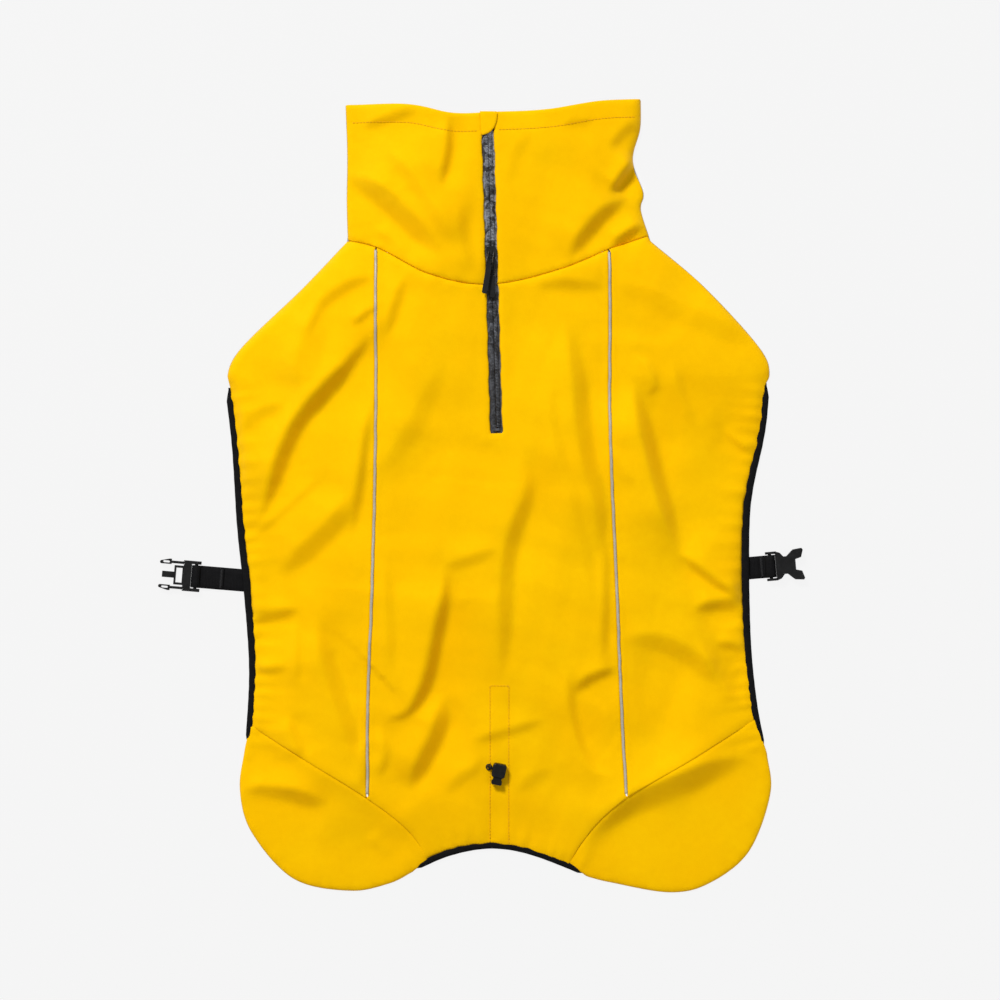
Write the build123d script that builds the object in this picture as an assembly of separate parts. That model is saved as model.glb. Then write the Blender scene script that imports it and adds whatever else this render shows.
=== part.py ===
from build123d import *
from math import atan2, degrees, exp
import os

# Dog's hardshell jacket, lying flat with the back up. Millimetres.
# +Y runs from the tail hem to the collar, +X to the wearer's right side, +Z up.
# The origin is on the centreline, on the surface that the chest panel lies on.

# ---- fabric shell
SHELL_THICKNESS = 1.6
RIM_HEIGHT = 3.2            # top of the shell at its outer edge
CROWN_HEIGHT = 18.0         # how far the middle stands above the rim
CROWN_SHOULDER = 2.0        # how sharply the crown rounds off towards its sides
CROWN_FLAT_Y = 60.0         # the crown keeps its full height in front of this
CROWN_FALL_LENGTH = 380.0   # and falls to nothing this far behind it
LEG_PUFF_HEIGHT = 10.0      # extra height of the two gathered rear corners
LEG_PUFF_AT = (150.0, -285.0)
LEG_PUFF_RADIUS = 55.0
HALF_WIDTHS = [(360, 136), (226, 136), (107, 243), (-30, 228), (-180, 222), (-260, 238), (-360, 238)]
SURFACE_STEP = 20.0
SURFACE_HALF_X = 270.0
SURFACE_HALF_Y = 390.0
SEAM_GAP = 0.4
UNDERSIDE_THICKNESS = 1.4

# ---- trims
PIPING_WIDTH = 2.6
PIPING_SLOT = 3.0
PIPING_PROUD = 0.4
BINDING_WIDTH = 7.5
BINDING_HEIGHT = 4.4
HEM_BINDING_WIDTH = 7.0
CHEST_BINDING_WIDTH = 8.0
CHEST_BINDING_HEIGHT = 2.4
ELASTIC_WIDTH = 6.0
ELASTIC_HEIGHT = 1.2

# ---- two-way zip, in its own frame: y along the chain from the slot's lower end, z from the tape's face
ZIP_FOOT = (-1.8, 56.0)
ZIP_TURN = 1.64             # degrees that the chain leans towards -X
ZIP_SLOT_WIDTH = 10.0
ZIP_SLOT_LENGTH = 320.0
ZIP_FACE_Z = RIM_HEIGHT + CROWN_HEIGHT - SHELL_THICKNESS - 0.3
TAPE_THICKNESS = 0.6
TAPE_START, TAPE_END = -6.0, 279.0
TAPE_OUTER = 11.0
CHAIN_GAP = 1.0
COIL_WIDTH = 2.4
COIL_HEIGHT = 1.8
BOTTOM_STOP_Y = 1.8
STOP_LENGTH = 2.6
TOP_STOP_Y = 262.0
SLIDER_LENGTH = 10.2
SLIDER_WIDTH = 8.8
SLIDER_PLATE = 1.1
SLIDER_PLATE_Z = 2.1
UPPER_SLIDER_Y = 159.0
LOWER_SLIDER_Y = 148.2
BRIDGE_LENGTH = 5.0
BRIDGE_TOP = 5.8
PULL_AXIS_Z = 4.0
PULL_WIRE = 1.2
GRIP_WIDTH = 4.8

# ---- drawcord and its lock
TUNNEL_WIDTH = 16.7
TUNNEL_X = 0.85
TUNNEL_Y = (-285.0, -166.0)
TUNNEL_DEPTH = 4.3
TUNNEL_THICKNESS = 0.7
CORD_DIAMETER = 2.2
LOCK_AT = (-0.2, -243.5)
LOCK_TURN = -12.0
LOCK_CLEARANCE = 0.4
LOCK_WIDTH = 12.0
LOCK_HEIGHT = 7.0
LOCK_BODY_Y = (-3.0, 9.3)
LOCK_BUTTON_END = -9.3
CORD_HOLE_Y = 4.0
EYELET_X = -9.2
EYELET_OUTER = 2.9
EYELET_INNER = 1.7

# ---- belly straps and side-release buckle, each in a frame that starts at its fold line and runs outwards
WEBBING_WIDTH = 20.0
WEBBING_THICKNESS = 1.4
LEFT_FOLD = (-232.5, -73.0)
LEFT_TURN = 175.2
RIGHT_FOLD = (224.8, -62.5)
RIGHT_TURN = 5.0
ANCHOR_LENGTH = 26.0
FOLD_CLEARANCE = 0.9        # from the fold line to the sewn end, so that the webbing can turn
LOOP_RADIUS = 3.3
BAR_RADIUS = 1.5
LEFT_BAR_X = 34.8
RIGHT_BAR_X = 15.2
RAIL_INNER = 10.7
RAIL_OUTER = 13.5


# ------------------------------------------------------------------ shapes of the garment's edges

LEFT_COLLAR_EDGE = [(-133, 226), (-134, 262), (-133.5, 300), (-135, 346)]
COLLAR_TOP_EDGE = [(-135, 346), (-78, 345), (-40, 337.5), (2, 338.5), (45, 341), (88, 348.5), (125.5, 351)]
RIGHT_COLLAR_EDGE = [(125.5, 351), (125, 325), (118.5, 297), (128, 268), (125.5, 254), (134, 226)]
RIGHT_SHOULDER = [(134, 226), (183, 184), (233, 128), (239.8, 100)]
RIGHT_SIDE = [(239.8, 100), (235.5, 57), (224, 1), (221.5, -47), (223, -126), (228.5, -182), (237, -226)]
RIGHT_LEG_EDGE = [(237, -226), (240, -262), (221, -313), (186, -341), (151, -349), (98, -340), (78, -335)]
HEM_EDGE = [(78, -335), (28, -316), (-7.5, -310.6), (-43, -317), (-76, -331)]
LEFT_LEG_EDGE = [(-76, -331), (-96, -341), (-131, -347.6), (-181, -337),
                 (-218, -296), (-228.4, -258), (-224, -222)]
LEFT_SIDE = [(-224, -222), (-220.5, -154), (-225, -84), (-231, -27), (-235.5, 43), (-241.6, 96)]
LEFT_SHOULDER = [(-241.6, 96), (-230, 128), (-173, 184), (-133, 226)]

COLLAR_SEAM = [(-150, 229), (-108, 220), (-60, 195.5), (-7.5, 186.6), (54, 200), (102, 220), (150, 236)]
LEFT_PIPING = [(-108, 222), (-108, 160), (-108, 60), (-111, -80), (-115, -180), (-115.5, -266)]
RIGHT_PIPING = [(97.5, 220), (98, 160), (98, 60), (104, -80), (108, -180), (112.5, -265)]
LEFT_LEG_SEAM = [(-245, -184), (-175, -227), (-111, -267), (-73, -300), (-55, -340)]
RIGHT_LEG_SEAM = [(250, -181), (177, -225), (107, -267), (73, -303), (54, -340)]
CHEST_REAR_EDGE = [(-243, 100), (-185, 108), (-122, 86), (-68, 20), (0, -22),
                   (68, 20), (122, 86), (185, 108), (242, 104)]
THROAT_SEAM = [(-150, 222), (-60, 212), (0, 209), (60, 212), (150, 226)]


def garment_outline():
    edges = [LEFT_COLLAR_EDGE, COLLAR_TOP_EDGE, RIGHT_COLLAR_EDGE, RIGHT_SHOULDER, RIGHT_SIDE,
             RIGHT_LEG_EDGE, HEM_EDGE, LEFT_LEG_EDGE, LEFT_SIDE, LEFT_SHOULDER]
    return make_face([Spline(*points) for points in edges])


def half_width(y):
    for (y0, w0), (y1, w1) in zip(HALF_WIDTHS, HALF_WIDTHS[1:]):
        if y1 <= y <= y0:
            return w0 + (w1 - w0) * (y0 - y) / (y0 - y1)
    return HALF_WIDTHS[0][1] if y > 0 else HALF_WIDTHS[-1][1]


def top_height(x, y):
    """Height of the shell's outer face above the surface the jacket lies on."""
    across = abs(x) / half_width(y)
    along = min(1.0, max(0.0, (CROWN_FLAT_Y - y) / CROWN_FALL_LENGTH))
    from_puff = (abs(x) - LEG_PUFF_AT[0]) ** 2 + (y - LEG_PUFF_AT[1]) ** 2
    crown = CROWN_HEIGHT * exp(-CROWN_SHOULDER * across ** 4) * (1 - along ** 2)
    puff = LEG_PUFF_HEIGHT * exp(-from_puff / LEG_PUFF_RADIUS ** 2)
    return RIM_HEIGHT + crown + puff


def grid_steps(half):
    count = round(2 * half / SURFACE_STEP)
    return [-half + 2 * half * i / count for i in range(count + 1)]


def shell_surface():
    steps_x = grid_steps(SURFACE_HALF_X)
    rows = [[(x, y, top_height(x, y)) for x in steps_x] for y in grid_steps(SURFACE_HALF_Y)]
    return Face.make_surface_from_array_of_points(rows, tol=0.1)


def layer(surface, top, thickness):
    """A sheet of even thickness whose upper face is the shell surface raised by top."""
    return Solid.extrude(Pos(0, 0, top - thickness) * surface, Vector(0, 0, thickness))


def prism(sketch, bottom, height):
    return Pos(0, 0, bottom) * extrude(sketch, height)


def strip(points, width, bottom, height):
    return prism(trace(Spline(*points), width), bottom, height)


def solid_near(shape, x, y):
    return min(shape.solids(), key=lambda s: (s.center().X - x) ** 2 + (s.center().Y - y) ** 2)


def inset(points, distance, side):
    """The same run of points moved sideways by distance; side is +1 for the left of the run."""
    moved = []
    for i, (x, y) in enumerate(points):
        x0, y0 = points[max(i - 1, 0)]
        x1, y1 = points[min(i + 1, len(points) - 1)]
        length = ((x1 - x0) ** 2 + (y1 - y0) ** 2) ** 0.5
        moved.append((x - side * distance * (y1 - y0) / length, y + side * distance * (x1 - x0) / length))
    return moved


# ------------------------------------------------------------------ fabric

def shell_panels(surface, outline):
    """The upper fabric, cut apart at the seams, the piping, the bindings and the zip slot."""
    tall = 60
    whole = layer(surface, 0, SHELL_THICKNESS) & prism(outline, -1, tall)
    cuts = [strip(seam, SEAM_GAP, -1, tall) for seam in (COLLAR_SEAM, LEFT_LEG_SEAM, RIGHT_LEG_SEAM)]
    cuts += [strip(line, PIPING_SLOT, -1, tall) for line in (LEFT_PIPING, RIGHT_PIPING)]
    cuts.append(zip_frame() * Pos(0, ZIP_SLOT_LENGTH / 2, 0) * Box(ZIP_SLOT_WIDTH, ZIP_SLOT_LENGTH, tall))
    cuts.append(eyelet_place() * Cylinder(EYELET_INNER + 0.2, 12))
    cuts += [prism(trace(Spline(*line), width + SEAM_GAP), -1, tall) for line, width in binding_lines()]
    return whole - cuts


def binding_lines():
    """Centre lines of the three elastic bindings on the upper fabric, and their widths."""
    return [(inset(LEFT_SIDE, BINDING_WIDTH / 2, -1), BINDING_WIDTH),
            (inset(RIGHT_SIDE, BINDING_WIDTH / 2, -1), BINDING_WIDTH),
            (inset(HEM_EDGE, HEM_BINDING_WIDTH / 2, -1), HEM_BINDING_WIDTH)]


def piping(surface, line):
    raised = layer(surface, PIPING_PROUD, SHELL_THICKNESS + PIPING_PROUD)
    body = raised & strip(line, PIPING_WIDTH, -1, 60)
    limits = [strip(seam, SEAM_GAP, -1, 60) for seam in (COLLAR_SEAM, LEFT_LEG_SEAM, RIGHT_LEG_SEAM)]
    return max((body - limits).solids(), key=lambda s: s.volume)


def side_binding(line, strap_place):
    body = strip(inset(line, BINDING_WIDTH / 2, -1), BINDING_WIDTH, 0, BINDING_HEIGHT)
    strap_way = strap_place * Pos(0, 0, 1) * Box(80, WEBBING_WIDTH + 1, 2 * WEBBING_THICKNESS + 0.4)
    return body - strap_way


def hem_binding():
    return strip(inset(HEM_EDGE, HEM_BINDING_WIDTH / 2, -1), HEM_BINDING_WIDTH, 0, BINDING_HEIGHT)


def leg_elastic(line):
    """The gathered elastic that curls under a rear corner, between the side binding and the hem."""
    return strip(inset(line, ELASTIC_WIDTH, -1)[1:-1], ELASTIC_WIDTH, 0, ELASTIC_HEIGHT)


def side_binding_ways():
    """Space kept clear round the two side bindings."""
    return [prism(trace(Spline(*line), width + 2 * SEAM_GAP), -1, 10) for line, width in binding_lines()[:2]]


def chest_binding(outline):
    body = strip(CHEST_REAR_EDGE, CHEST_BINDING_WIDTH, 0, CHEST_BINDING_HEIGHT) & prism(outline, -1, 10)
    return max((body - side_binding_ways()).solids(), key=lambda s: s.volume)


def underside_panels(outline):
    """The plates that lie on the table: the chest panel and the throat side of the collar."""
    rear_edge = Spline(*CHEST_REAR_EDGE)
    corners = Polyline(CHEST_REAR_EDGE[-1], (300, 100), (300, 400), (-300, 400), (-300, 100),
                       CHEST_REAR_EDGE[0])
    in_front = prism(make_face([rear_edge, corners]), -1, 10)
    plate = prism(outline, 0, UNDERSIDE_THICKNESS) & in_front
    binding_way = strip(CHEST_REAR_EDGE, CHEST_BINDING_WIDTH + SEAM_GAP, -1, 10)
    return plate - [binding_way, strip(THROAT_SEAM, SEAM_GAP, -1, 10)] - side_binding_ways()


# ------------------------------------------------------------------ zip

def zip_frame():
    return Location((ZIP_FOOT[0], ZIP_FOOT[1], ZIP_FACE_Z), (0, 0, ZIP_TURN))


def zip_tape(side):
    width = TAPE_OUTER - CHAIN_GAP / 2
    length = TAPE_END - TAPE_START
    place = (side * (CHAIN_GAP + width) / 2, (TAPE_START + TAPE_END) / 2, -TAPE_THICKNESS / 2)
    return zip_frame() * Pos(*place) * Box(width, length, TAPE_THICKNESS)


def zip_coil(side):
    start = BOTTOM_STOP_Y + STOP_LENGTH + 0.2
    length = TOP_STOP_Y - 0.2 - start
    place = (side * (CHAIN_GAP + COIL_WIDTH) / 2, start + length / 2, COIL_HEIGHT / 2)
    return zip_frame() * Pos(*place) * Box(COIL_WIDTH, length, COIL_HEIGHT)


def zip_bottom_stop():
    width = CHAIN_GAP + 2 * COIL_WIDTH
    place = (0, BOTTOM_STOP_Y + STOP_LENGTH / 2, COIL_HEIGHT / 2)
    return zip_frame() * Pos(*place) * Box(width, STOP_LENGTH, COIL_HEIGHT)


def zip_top_stops():
    place = (CHAIN_GAP + COIL_WIDTH) / 2
    stop = Box(COIL_WIDTH, STOP_LENGTH, COIL_HEIGHT)
    middle = (TOP_STOP_Y + STOP_LENGTH / 2, COIL_HEIGHT / 2)
    return Compound(children=[zip_frame() * Pos(side * place, *middle) * stop for side in (-1, 1)])


def zip_garage():
    outline = make_face([Polyline((-16, 339), (-15, 318), (-10, 317.6)),
                         Spline((-10, 317.6), (-5.4, 320), (-2, 327), (-0.8, 338)),
                         Line((-0.8, 338), (-16, 339))])
    return prism(outline, RIM_HEIGHT + CROWN_HEIGHT + 0.2, 1.2)


def slider(y, head):
    """Slider body: two plates joined by a post in the chain gap, with a bridge for the pull on top.
    head is the end that the post stands at: +1 towards +Y, -1 towards -Y."""
    plate = extrude(RectangleRounded(SLIDER_WIDTH, SLIDER_LENGTH, 2.2), SLIDER_PLATE)
    upper = Pos(0, 0, SLIDER_PLATE_Z) * plate
    flange = Pos((SLIDER_WIDTH - 1) / 2, 0, 0.4 + 0.9) * Box(1, SLIDER_LENGTH - 5, 1.8)
    flanges = [flange, mirror(flange, about=Plane.YZ)]
    lower = Pos(0, 0, -TAPE_THICKNESS - 0.3 - 0.8) * extrude(RectangleRounded(7.6, SLIDER_LENGTH, 2.2), 0.8)
    post_height = SLIDER_PLATE_Z + TAPE_THICKNESS + 1.1
    post_middle = (SLIDER_PLATE_Z - TAPE_THICKNESS - 0.7) / 2
    post = Pos(0, head * (SLIDER_LENGTH / 2 - 2.4), post_middle) * Box(0.4, 3.4, post_height)
    arch_height = BRIDGE_TOP - SLIDER_PLATE_Z - SLIDER_PLATE
    arch = Pos(0, 0, BRIDGE_TOP - arch_height / 2) * Box(2.6, BRIDGE_LENGTH, arch_height)
    way = Pos(0, 0, PULL_AXIS_Z) * Box(4, BRIDGE_LENGTH - 2.2, PULL_WIRE + 0.5)
    return zip_frame() * Pos(0, y, 0) * (upper + flanges + lower + post + (arch - way))


def pull_place(slider_y, turn):
    return zip_frame() * Location((0, slider_y, PULL_AXIS_Z), (0, 0, turn))


def pull_link(slider_y, turn, rise, length):
    """Wire link: a bar through the bridge, two legs running back and a bar through the grip."""
    half = 2.3
    near = Rot(0, 90, 0) * Cylinder(PULL_WIRE / 2, 2 * half)
    far = Pos(0, -length, rise) * Rot(0, 90, 0) * Cylinder(PULL_WIRE / 2, 2 * half)
    run = (length ** 2 + rise ** 2) ** 0.5
    lean = degrees(atan2(rise, length))
    leg = Rot(-lean, 0, 0) * Pos(0, -run / 2, 0) * Rot(90, 0, 0) * Cylinder(PULL_WIRE / 2, run)
    corners = [(side * half, y, z) for side in (-1, 1) for y, z in ((0, 0), (-length, rise))]
    ends = [Pos(*corner) * Sphere(PULL_WIRE / 2) for corner in corners]
    legs = [Pos(side * half, 0, 0) * leg for side in (-1, 1)]
    return pull_place(slider_y, turn) * (near + far + legs + ends)


def pull_grip(slider_y, turn, rise, link_length, length, thickness):
    """Moulded grip with a slot at its head for the link's bar."""
    head = 1.5
    outline = RectangleRounded(GRIP_WIDTH, length, 1.6)
    blank = Pos(0, -length / 2 + head, 0) * extrude(outline, thickness / 2, both=True)
    neck = [Pos(side * 2.3, head / 2 - 0.6, 0) * Box(2.2, head + 2.6, thickness + 1) for side in (-1, 1)]
    hole = Rot(0, 90, 0) * Cylinder(PULL_WIRE / 2 + 0.15, 8)
    return pull_place(slider_y, turn) * Pos(0, -link_length, rise) * (blank - neck - hole)


UPPER_PULL = dict(turn=-11.0, rise=3.9, length=9.6)
LOWER_PULL = dict(turn=0.0, rise=0.0, length=8.6)
UPPER_GRIP = dict(length=29.0, thickness=2.4)
LOWER_GRIP = dict(length=22.0, thickness=2.2)


# ------------------------------------------------------------------ drawcord and lock

def slope_at(y):
    return degrees(atan2(top_height(0, y + 1) - top_height(0, y - 1), 2))


def lock_place():
    y = LOCK_AT[1]
    height = top_height(0, y) + LOCK_CLEARANCE
    return Location((LOCK_AT[0], y, height), (slope_at(y), 0, 0)) * Rot(0, 0, LOCK_TURN)


def eyelet_place():
    return lock_place() * Pos(EYELET_X, CORD_HOLE_Y, -LOCK_CLEARANCE)


def drawcord_tunnel(surface):
    length = TUNNEL_Y[1] - TUNNEL_Y[0]
    sheet = layer(surface, -TUNNEL_DEPTH, TUNNEL_THICKNESS)
    return sheet & Pos(TUNNEL_X, (TUNNEL_Y[0] + TUNNEL_Y[1]) / 2, 20) * Box(TUNNEL_WIDTH, length, 60)


def drawcord():
    """Elastic cord inside the tunnel, from its sewn upper end to below the eyelet."""
    depth = (SHELL_THICKNESS + TUNNEL_DEPTH - TUNNEL_THICKNESS) / 2 + 0.3
    ends = [(TUNNEL_X - 4, y, top_height(TUNNEL_X, y) - depth + 0.3) for y in (-232.0, TUNNEL_Y[1] - 3)]
    direction = Vector(*ends[1]) - Vector(*ends[0])
    return extrude(Plane(ends[0], z_dir=direction) * Circle(CORD_DIAMETER / 2 - 0.1), direction.length)


def cord_loop():
    """The visible end of the drawcord: up through the eyelet and across into the lock."""
    middle = LOCK_HEIGHT / 2
    path = FilletPolyline((EYELET_X, CORD_HOLE_Y, -1.4), (EYELET_X, CORD_HOLE_Y, middle),
                          (LOCK_WIDTH / 2 - 2, CORD_HOLE_Y, middle), radius=2.0)
    return lock_place() * sweep(Plane((EYELET_X, CORD_HOLE_Y, -1.4)) * Circle(CORD_DIAMETER / 2), path)


def cord_eyelet():
    return eyelet_place() * (Cylinder(EYELET_OUTER, 0.8) - Cylinder(EYELET_INNER, 2)).moved(Pos(0, 0, 0.45))


def cord_lock_body():
    y0, y1 = LOCK_BODY_Y
    shell = Pos(0, (y0 + y1) / 2, 0) * extrude(RectangleRounded(LOCK_WIDTH, y1 - y0, 2.5), LOCK_HEIGHT)
    shell = fillet(shell.faces().sort_by(Axis.Z)[-1].edges(), 1.2)
    cavity = Pos(0, y0 + 5.5, LOCK_HEIGHT / 2) * Box(8.4, 12.6, 4.8)
    hole = Pos(0, CORD_HOLE_Y, LOCK_HEIGHT / 2) * Rot(0, 90, 0) * Cylinder(CORD_DIAMETER / 2 + 0.3, 30)
    return lock_place() * (shell - cavity - hole)


def cord_lock_button():
    shaft_end = 5.9
    shaft_start = LOCK_BUTTON_END + 1
    shaft_middle = Pos(0, (shaft_start + shaft_end) / 2, LOCK_HEIGHT / 2)
    shaft = shaft_middle * Box(7.6, shaft_end - shaft_start, 4.2)
    cap_middle = Pos(0, LOCK_BUTTON_END + 1.9, LOCK_HEIGHT / 2)
    cap = cap_middle * extrude(RectangleRounded(9.4, 3.8, 1.4), 2.8, both=True)
    slot = Pos(0, 2.0, LOCK_HEIGHT / 2) * Box(12, 6.6, 2.8)
    return lock_place() * (shaft + cap - slot)


def cord_lock_spring():
    coil = Cylinder(1.8, 2.4) - Cylinder(1.2, 3)
    return lock_place() * Pos(0, 7.3, LOCK_HEIGHT / 2) * Rot(90, 0, 0) * coil


# ------------------------------------------------------------------ belly straps and buckle

def left_strap_place():
    return Location((LEFT_FOLD[0], LEFT_FOLD[1], 0), (0, 0, LEFT_TURN))


def right_strap_place():
    return Location((RIGHT_FOLD[0], RIGHT_FOLD[1], 0), (0, 0, RIGHT_TURN))


def strap_anchor(place):
    """The sewn end of the webbing, flat under the side panel."""
    middle = Pos(-ANCHOR_LENGTH / 2 - FOLD_CLEARANCE, 0, WEBBING_THICKNESS / 2)
    return place * middle * Box(ANCHOR_LENGTH, WEBBING_WIDTH, WEBBING_THICKNESS)


def strap(place, bar_x):
    """Webbing from the fold line to its end loop, which goes round the buckle's bar."""
    run = Pos(bar_x / 2, 0, WEBBING_THICKNESS / 2) * Box(bar_x, WEBBING_WIDTH, WEBBING_THICKNESS)
    fold = Pos(0, 0, WEBBING_THICKNESS / 2) * Rot(90, 0, 0) * Cylinder(WEBBING_THICKNESS / 2, WEBBING_WIDTH)
    ring = Pos(bar_x, 0, LOOP_RADIUS) * Rot(90, 0, 0) * Cylinder(LOOP_RADIUS, WEBBING_WIDTH)
    eye = Pos(bar_x, 0, LOOP_RADIUS) * Rot(90, 0, 0) * Cylinder(LOOP_RADIUS - WEBBING_THICKNESS, 30)
    return place * (run + fold + ring - eye)


def webbing_bar(bar_x):
    return Pos(bar_x, 0, LOOP_RADIUS) * Rot(90, 0, 0) * Cylinder(BAR_RADIUS, 2 * RAIL_OUTER - 1)


def block(x0, x1, y0, y1, z0, z1):
    return Pos((x0 + x1) / 2, (y0 + y1) / 2, (z0 + z1) / 2) * Box(abs(x1 - x0), abs(y1 - y0), abs(z1 - z0))


MALE_Z = (0.6, 6.0)
MALE_RAIL_X = (30.7, 41.0)
MALE_CROSS_X = (39.0, 46.0)
MALE_WINDOW_END_X = 54.0
MALE_TONGUE_END_X = 64.6
ARM_PIVOT = (46.6, 11.2)
ARM_TIP_X = 67.1
FEMALE_HEIGHT = 8.0
FEMALE_WALL = 1.5


def male_buckle():
    rails = [block(*MALE_RAIL_X, side * RAIL_INNER, side * RAIL_OUTER, *MALE_Z) for side in (-1, 1)]
    cross = block(*MALE_CROSS_X, -RAIL_OUTER, RAIL_OUTER, *MALE_Z)
    ring = block(MALE_CROSS_X[1], MALE_WINDOW_END_X, -8.5, 8.5, 1.2, 5.4)
    window = block(MALE_CROSS_X[1] + 0.8, MALE_WINDOW_END_X - 1.6, -6.5, 6.5, 0, 8)
    tongue = block(MALE_WINDOW_END_X, MALE_TONGUE_END_X, -2.7, 2.7, 1.8, 4.8)
    sockets = [Pos(ARM_PIVOT[0], side * ARM_PIVOT[1], 3) * Cylinder(1.6, 9) for side in (-1, 1)]
    return left_strap_place() * (cross + rails + (ring - window) + tongue + webbing_bar(LEFT_BAR_X) - sockets)


def latch_arm(side):
    """One sprung arm of the male buckle, from its living hinge to the barbed head."""
    root = Pos(ARM_PIVOT[0], ARM_PIVOT[1], 3.2) * Cylinder(1.25, 4)
    shank = block(ARM_PIVOT[0], 58, 10.1, 12.3, 1.2, 5.2)
    head = make_face([Polyline((57, 9.2), (66, 9.2)), ThreePointArc((66, 9.2), (ARM_TIP_X, 10.4), (66.3, 12)),
                      Polyline((66.3, 12), (59, 13.9), (57, 13.9), (57, 9.2))])
    slot = Pos(61.5, 11.2, 0) * extrude(SlotOverall(6.0, 1.8), 10)
    arm = root + shank + (prism(head, 1.2, 4.0) - slot)
    return left_strap_place() * (arm if side > 0 else mirror(arm, about=Plane.XZ))


def female_buckle():
    waist = [(20, 12.8), (24, 11.4), (27, 7.7), (30, 7.7)]
    horn = [(36, 13.2), (43.5, 14), (44.5, 12.4), (42.5, 6), (37.3, 4.6)]
    half = waist + horn
    other = [(x, -y) for x, y in reversed(half)]
    outline = make_face(Polyline(*half, *other, close=True))
    body = prism(outline, 0, FEMALE_HEIGHT)
    inside = FEMALE_HEIGHT - 2 * FEMALE_WALL
    socket = Pos(0, 0, FEMALE_WALL) * extrude(Pos(36, 0) * Rectangle(24, 24.6), inside)
    rails = [block(11.4, 21, side * RAIL_INNER, side * 12.8, 0.6, 6.0) for side in (-1, 1)]
    bar = Pos(RIGHT_BAR_X, 0, LOOP_RADIUS) * Rot(90, 0, 0) * Cylinder(BAR_RADIUS, 2 * RAIL_INNER + 2)
    return right_strap_place() * (body - socket + rails + bar)


# ------------------------------------------------------------------ assembly

def make_parts():
    surface = shell_surface()
    outline = garment_outline()
    shell = shell_panels(surface, outline)
    plates = underside_panels(outline)
    parts = {
        "back_panel": solid_near(shell, 0, -120),
        "left_side_panel": solid_near(shell, -165, -30),
        "right_side_panel": solid_near(shell, 165, -30),
        "left_leg_flap": solid_near(shell, -155, -290),
        "right_leg_flap": solid_near(shell, 155, -290),
        "collar_left": solid_near(shell, -75, 280),
        "collar_right": solid_near(shell, 65, 280),
        "collar_throat": solid_near(plates, 0, 290),
        "chest_panel": solid_near(plates, 0, 130),
        "left_piping": piping(surface, LEFT_PIPING),
        "right_piping": piping(surface, RIGHT_PIPING),
        "left_side_binding": side_binding(LEFT_SIDE, left_strap_place()),
        "right_side_binding": side_binding(RIGHT_SIDE, right_strap_place()),
        "hem_binding": hem_binding(),
        "chest_binding": chest_binding(outline),
        "left_leg_elastic": leg_elastic(LEFT_LEG_EDGE),
        "right_leg_elastic": leg_elastic(RIGHT_LEG_EDGE),
        "zip_tape_left": zip_tape(-1),
        "zip_tape_right": zip_tape(1),
        "zip_coil_left": zip_coil(-1),
        "zip_coil_right": zip_coil(1),
        "zip_bottom_stop": zip_bottom_stop(),
        "zip_top_stops": zip_top_stops(),
        "zip_garage": zip_garage(),
        "upper_slider": slider(UPPER_SLIDER_Y, -1),
        "lower_slider": slider(LOWER_SLIDER_Y, 1),
        "upper_pull_link": pull_link(UPPER_SLIDER_Y, **UPPER_PULL),
        "lower_pull_link": pull_link(LOWER_SLIDER_Y, **LOWER_PULL),
        "upper_pull_grip": pull_grip(UPPER_SLIDER_Y, UPPER_PULL["turn"], UPPER_PULL["rise"],
                                     UPPER_PULL["length"], **UPPER_GRIP),
        "lower_pull_grip": pull_grip(LOWER_SLIDER_Y, LOWER_PULL["turn"], LOWER_PULL["rise"],
                                     LOWER_PULL["length"], **LOWER_GRIP),
        "drawcord_tunnel": drawcord_tunnel(surface),
        "drawcord": drawcord(),
        "cord_loop": cord_loop(),
        "cord_eyelet": cord_eyelet(),
        "cord_lock_body": cord_lock_body(),
        "cord_lock_button": cord_lock_button(),
        "cord_lock_spring": cord_lock_spring(),
        "left_strap_anchor": strap_anchor(left_strap_place()),
        "right_strap_anchor": strap_anchor(right_strap_place()),
        "left_strap": strap(left_strap_place(), LEFT_BAR_X),
        "right_strap": strap(right_strap_place(), RIGHT_BAR_X),
        "male_buckle": male_buckle(),
        "front_latch_arm": latch_arm(-1),
        "rear_latch_arm": latch_arm(1),
        "female_buckle": female_buckle(),
    }
    return parts


os.makedirs("parts", exist_ok=True)
for name, shape in make_parts().items():
    export_step(shape, f"parts/{name}.step")
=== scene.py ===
import math

import bmesh
import bpy
import numpy as np
from mathutils import Matrix, Vector
from mathutils.geometry import delaunay_2d_cdt


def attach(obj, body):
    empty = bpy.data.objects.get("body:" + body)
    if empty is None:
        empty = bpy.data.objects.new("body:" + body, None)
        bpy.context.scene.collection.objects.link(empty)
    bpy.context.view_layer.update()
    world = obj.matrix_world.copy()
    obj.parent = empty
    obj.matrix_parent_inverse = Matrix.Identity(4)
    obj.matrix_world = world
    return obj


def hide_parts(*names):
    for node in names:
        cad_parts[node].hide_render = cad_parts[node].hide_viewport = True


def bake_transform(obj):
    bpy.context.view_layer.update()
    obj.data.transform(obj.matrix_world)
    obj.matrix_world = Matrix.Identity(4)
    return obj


# A dog's hardshell jacket lying flat with its back up. Lengths in this script are millimetres until
# they become mesh coordinates, and MM turns them into Blender's metres. The edges, seams and the
# height of the crown are the CAD model's own; folds, gathers and wrinkles are added to them here.

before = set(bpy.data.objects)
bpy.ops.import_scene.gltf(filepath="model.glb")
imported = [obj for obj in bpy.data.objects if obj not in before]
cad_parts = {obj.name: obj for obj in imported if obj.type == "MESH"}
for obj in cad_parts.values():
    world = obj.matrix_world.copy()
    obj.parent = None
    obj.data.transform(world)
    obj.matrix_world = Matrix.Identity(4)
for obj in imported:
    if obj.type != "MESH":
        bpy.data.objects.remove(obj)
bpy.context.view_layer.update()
MM = 0.001
rng = np.random.default_rng(11)


# ------------------------------ camera, floor and light (these lengths are metres)

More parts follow.
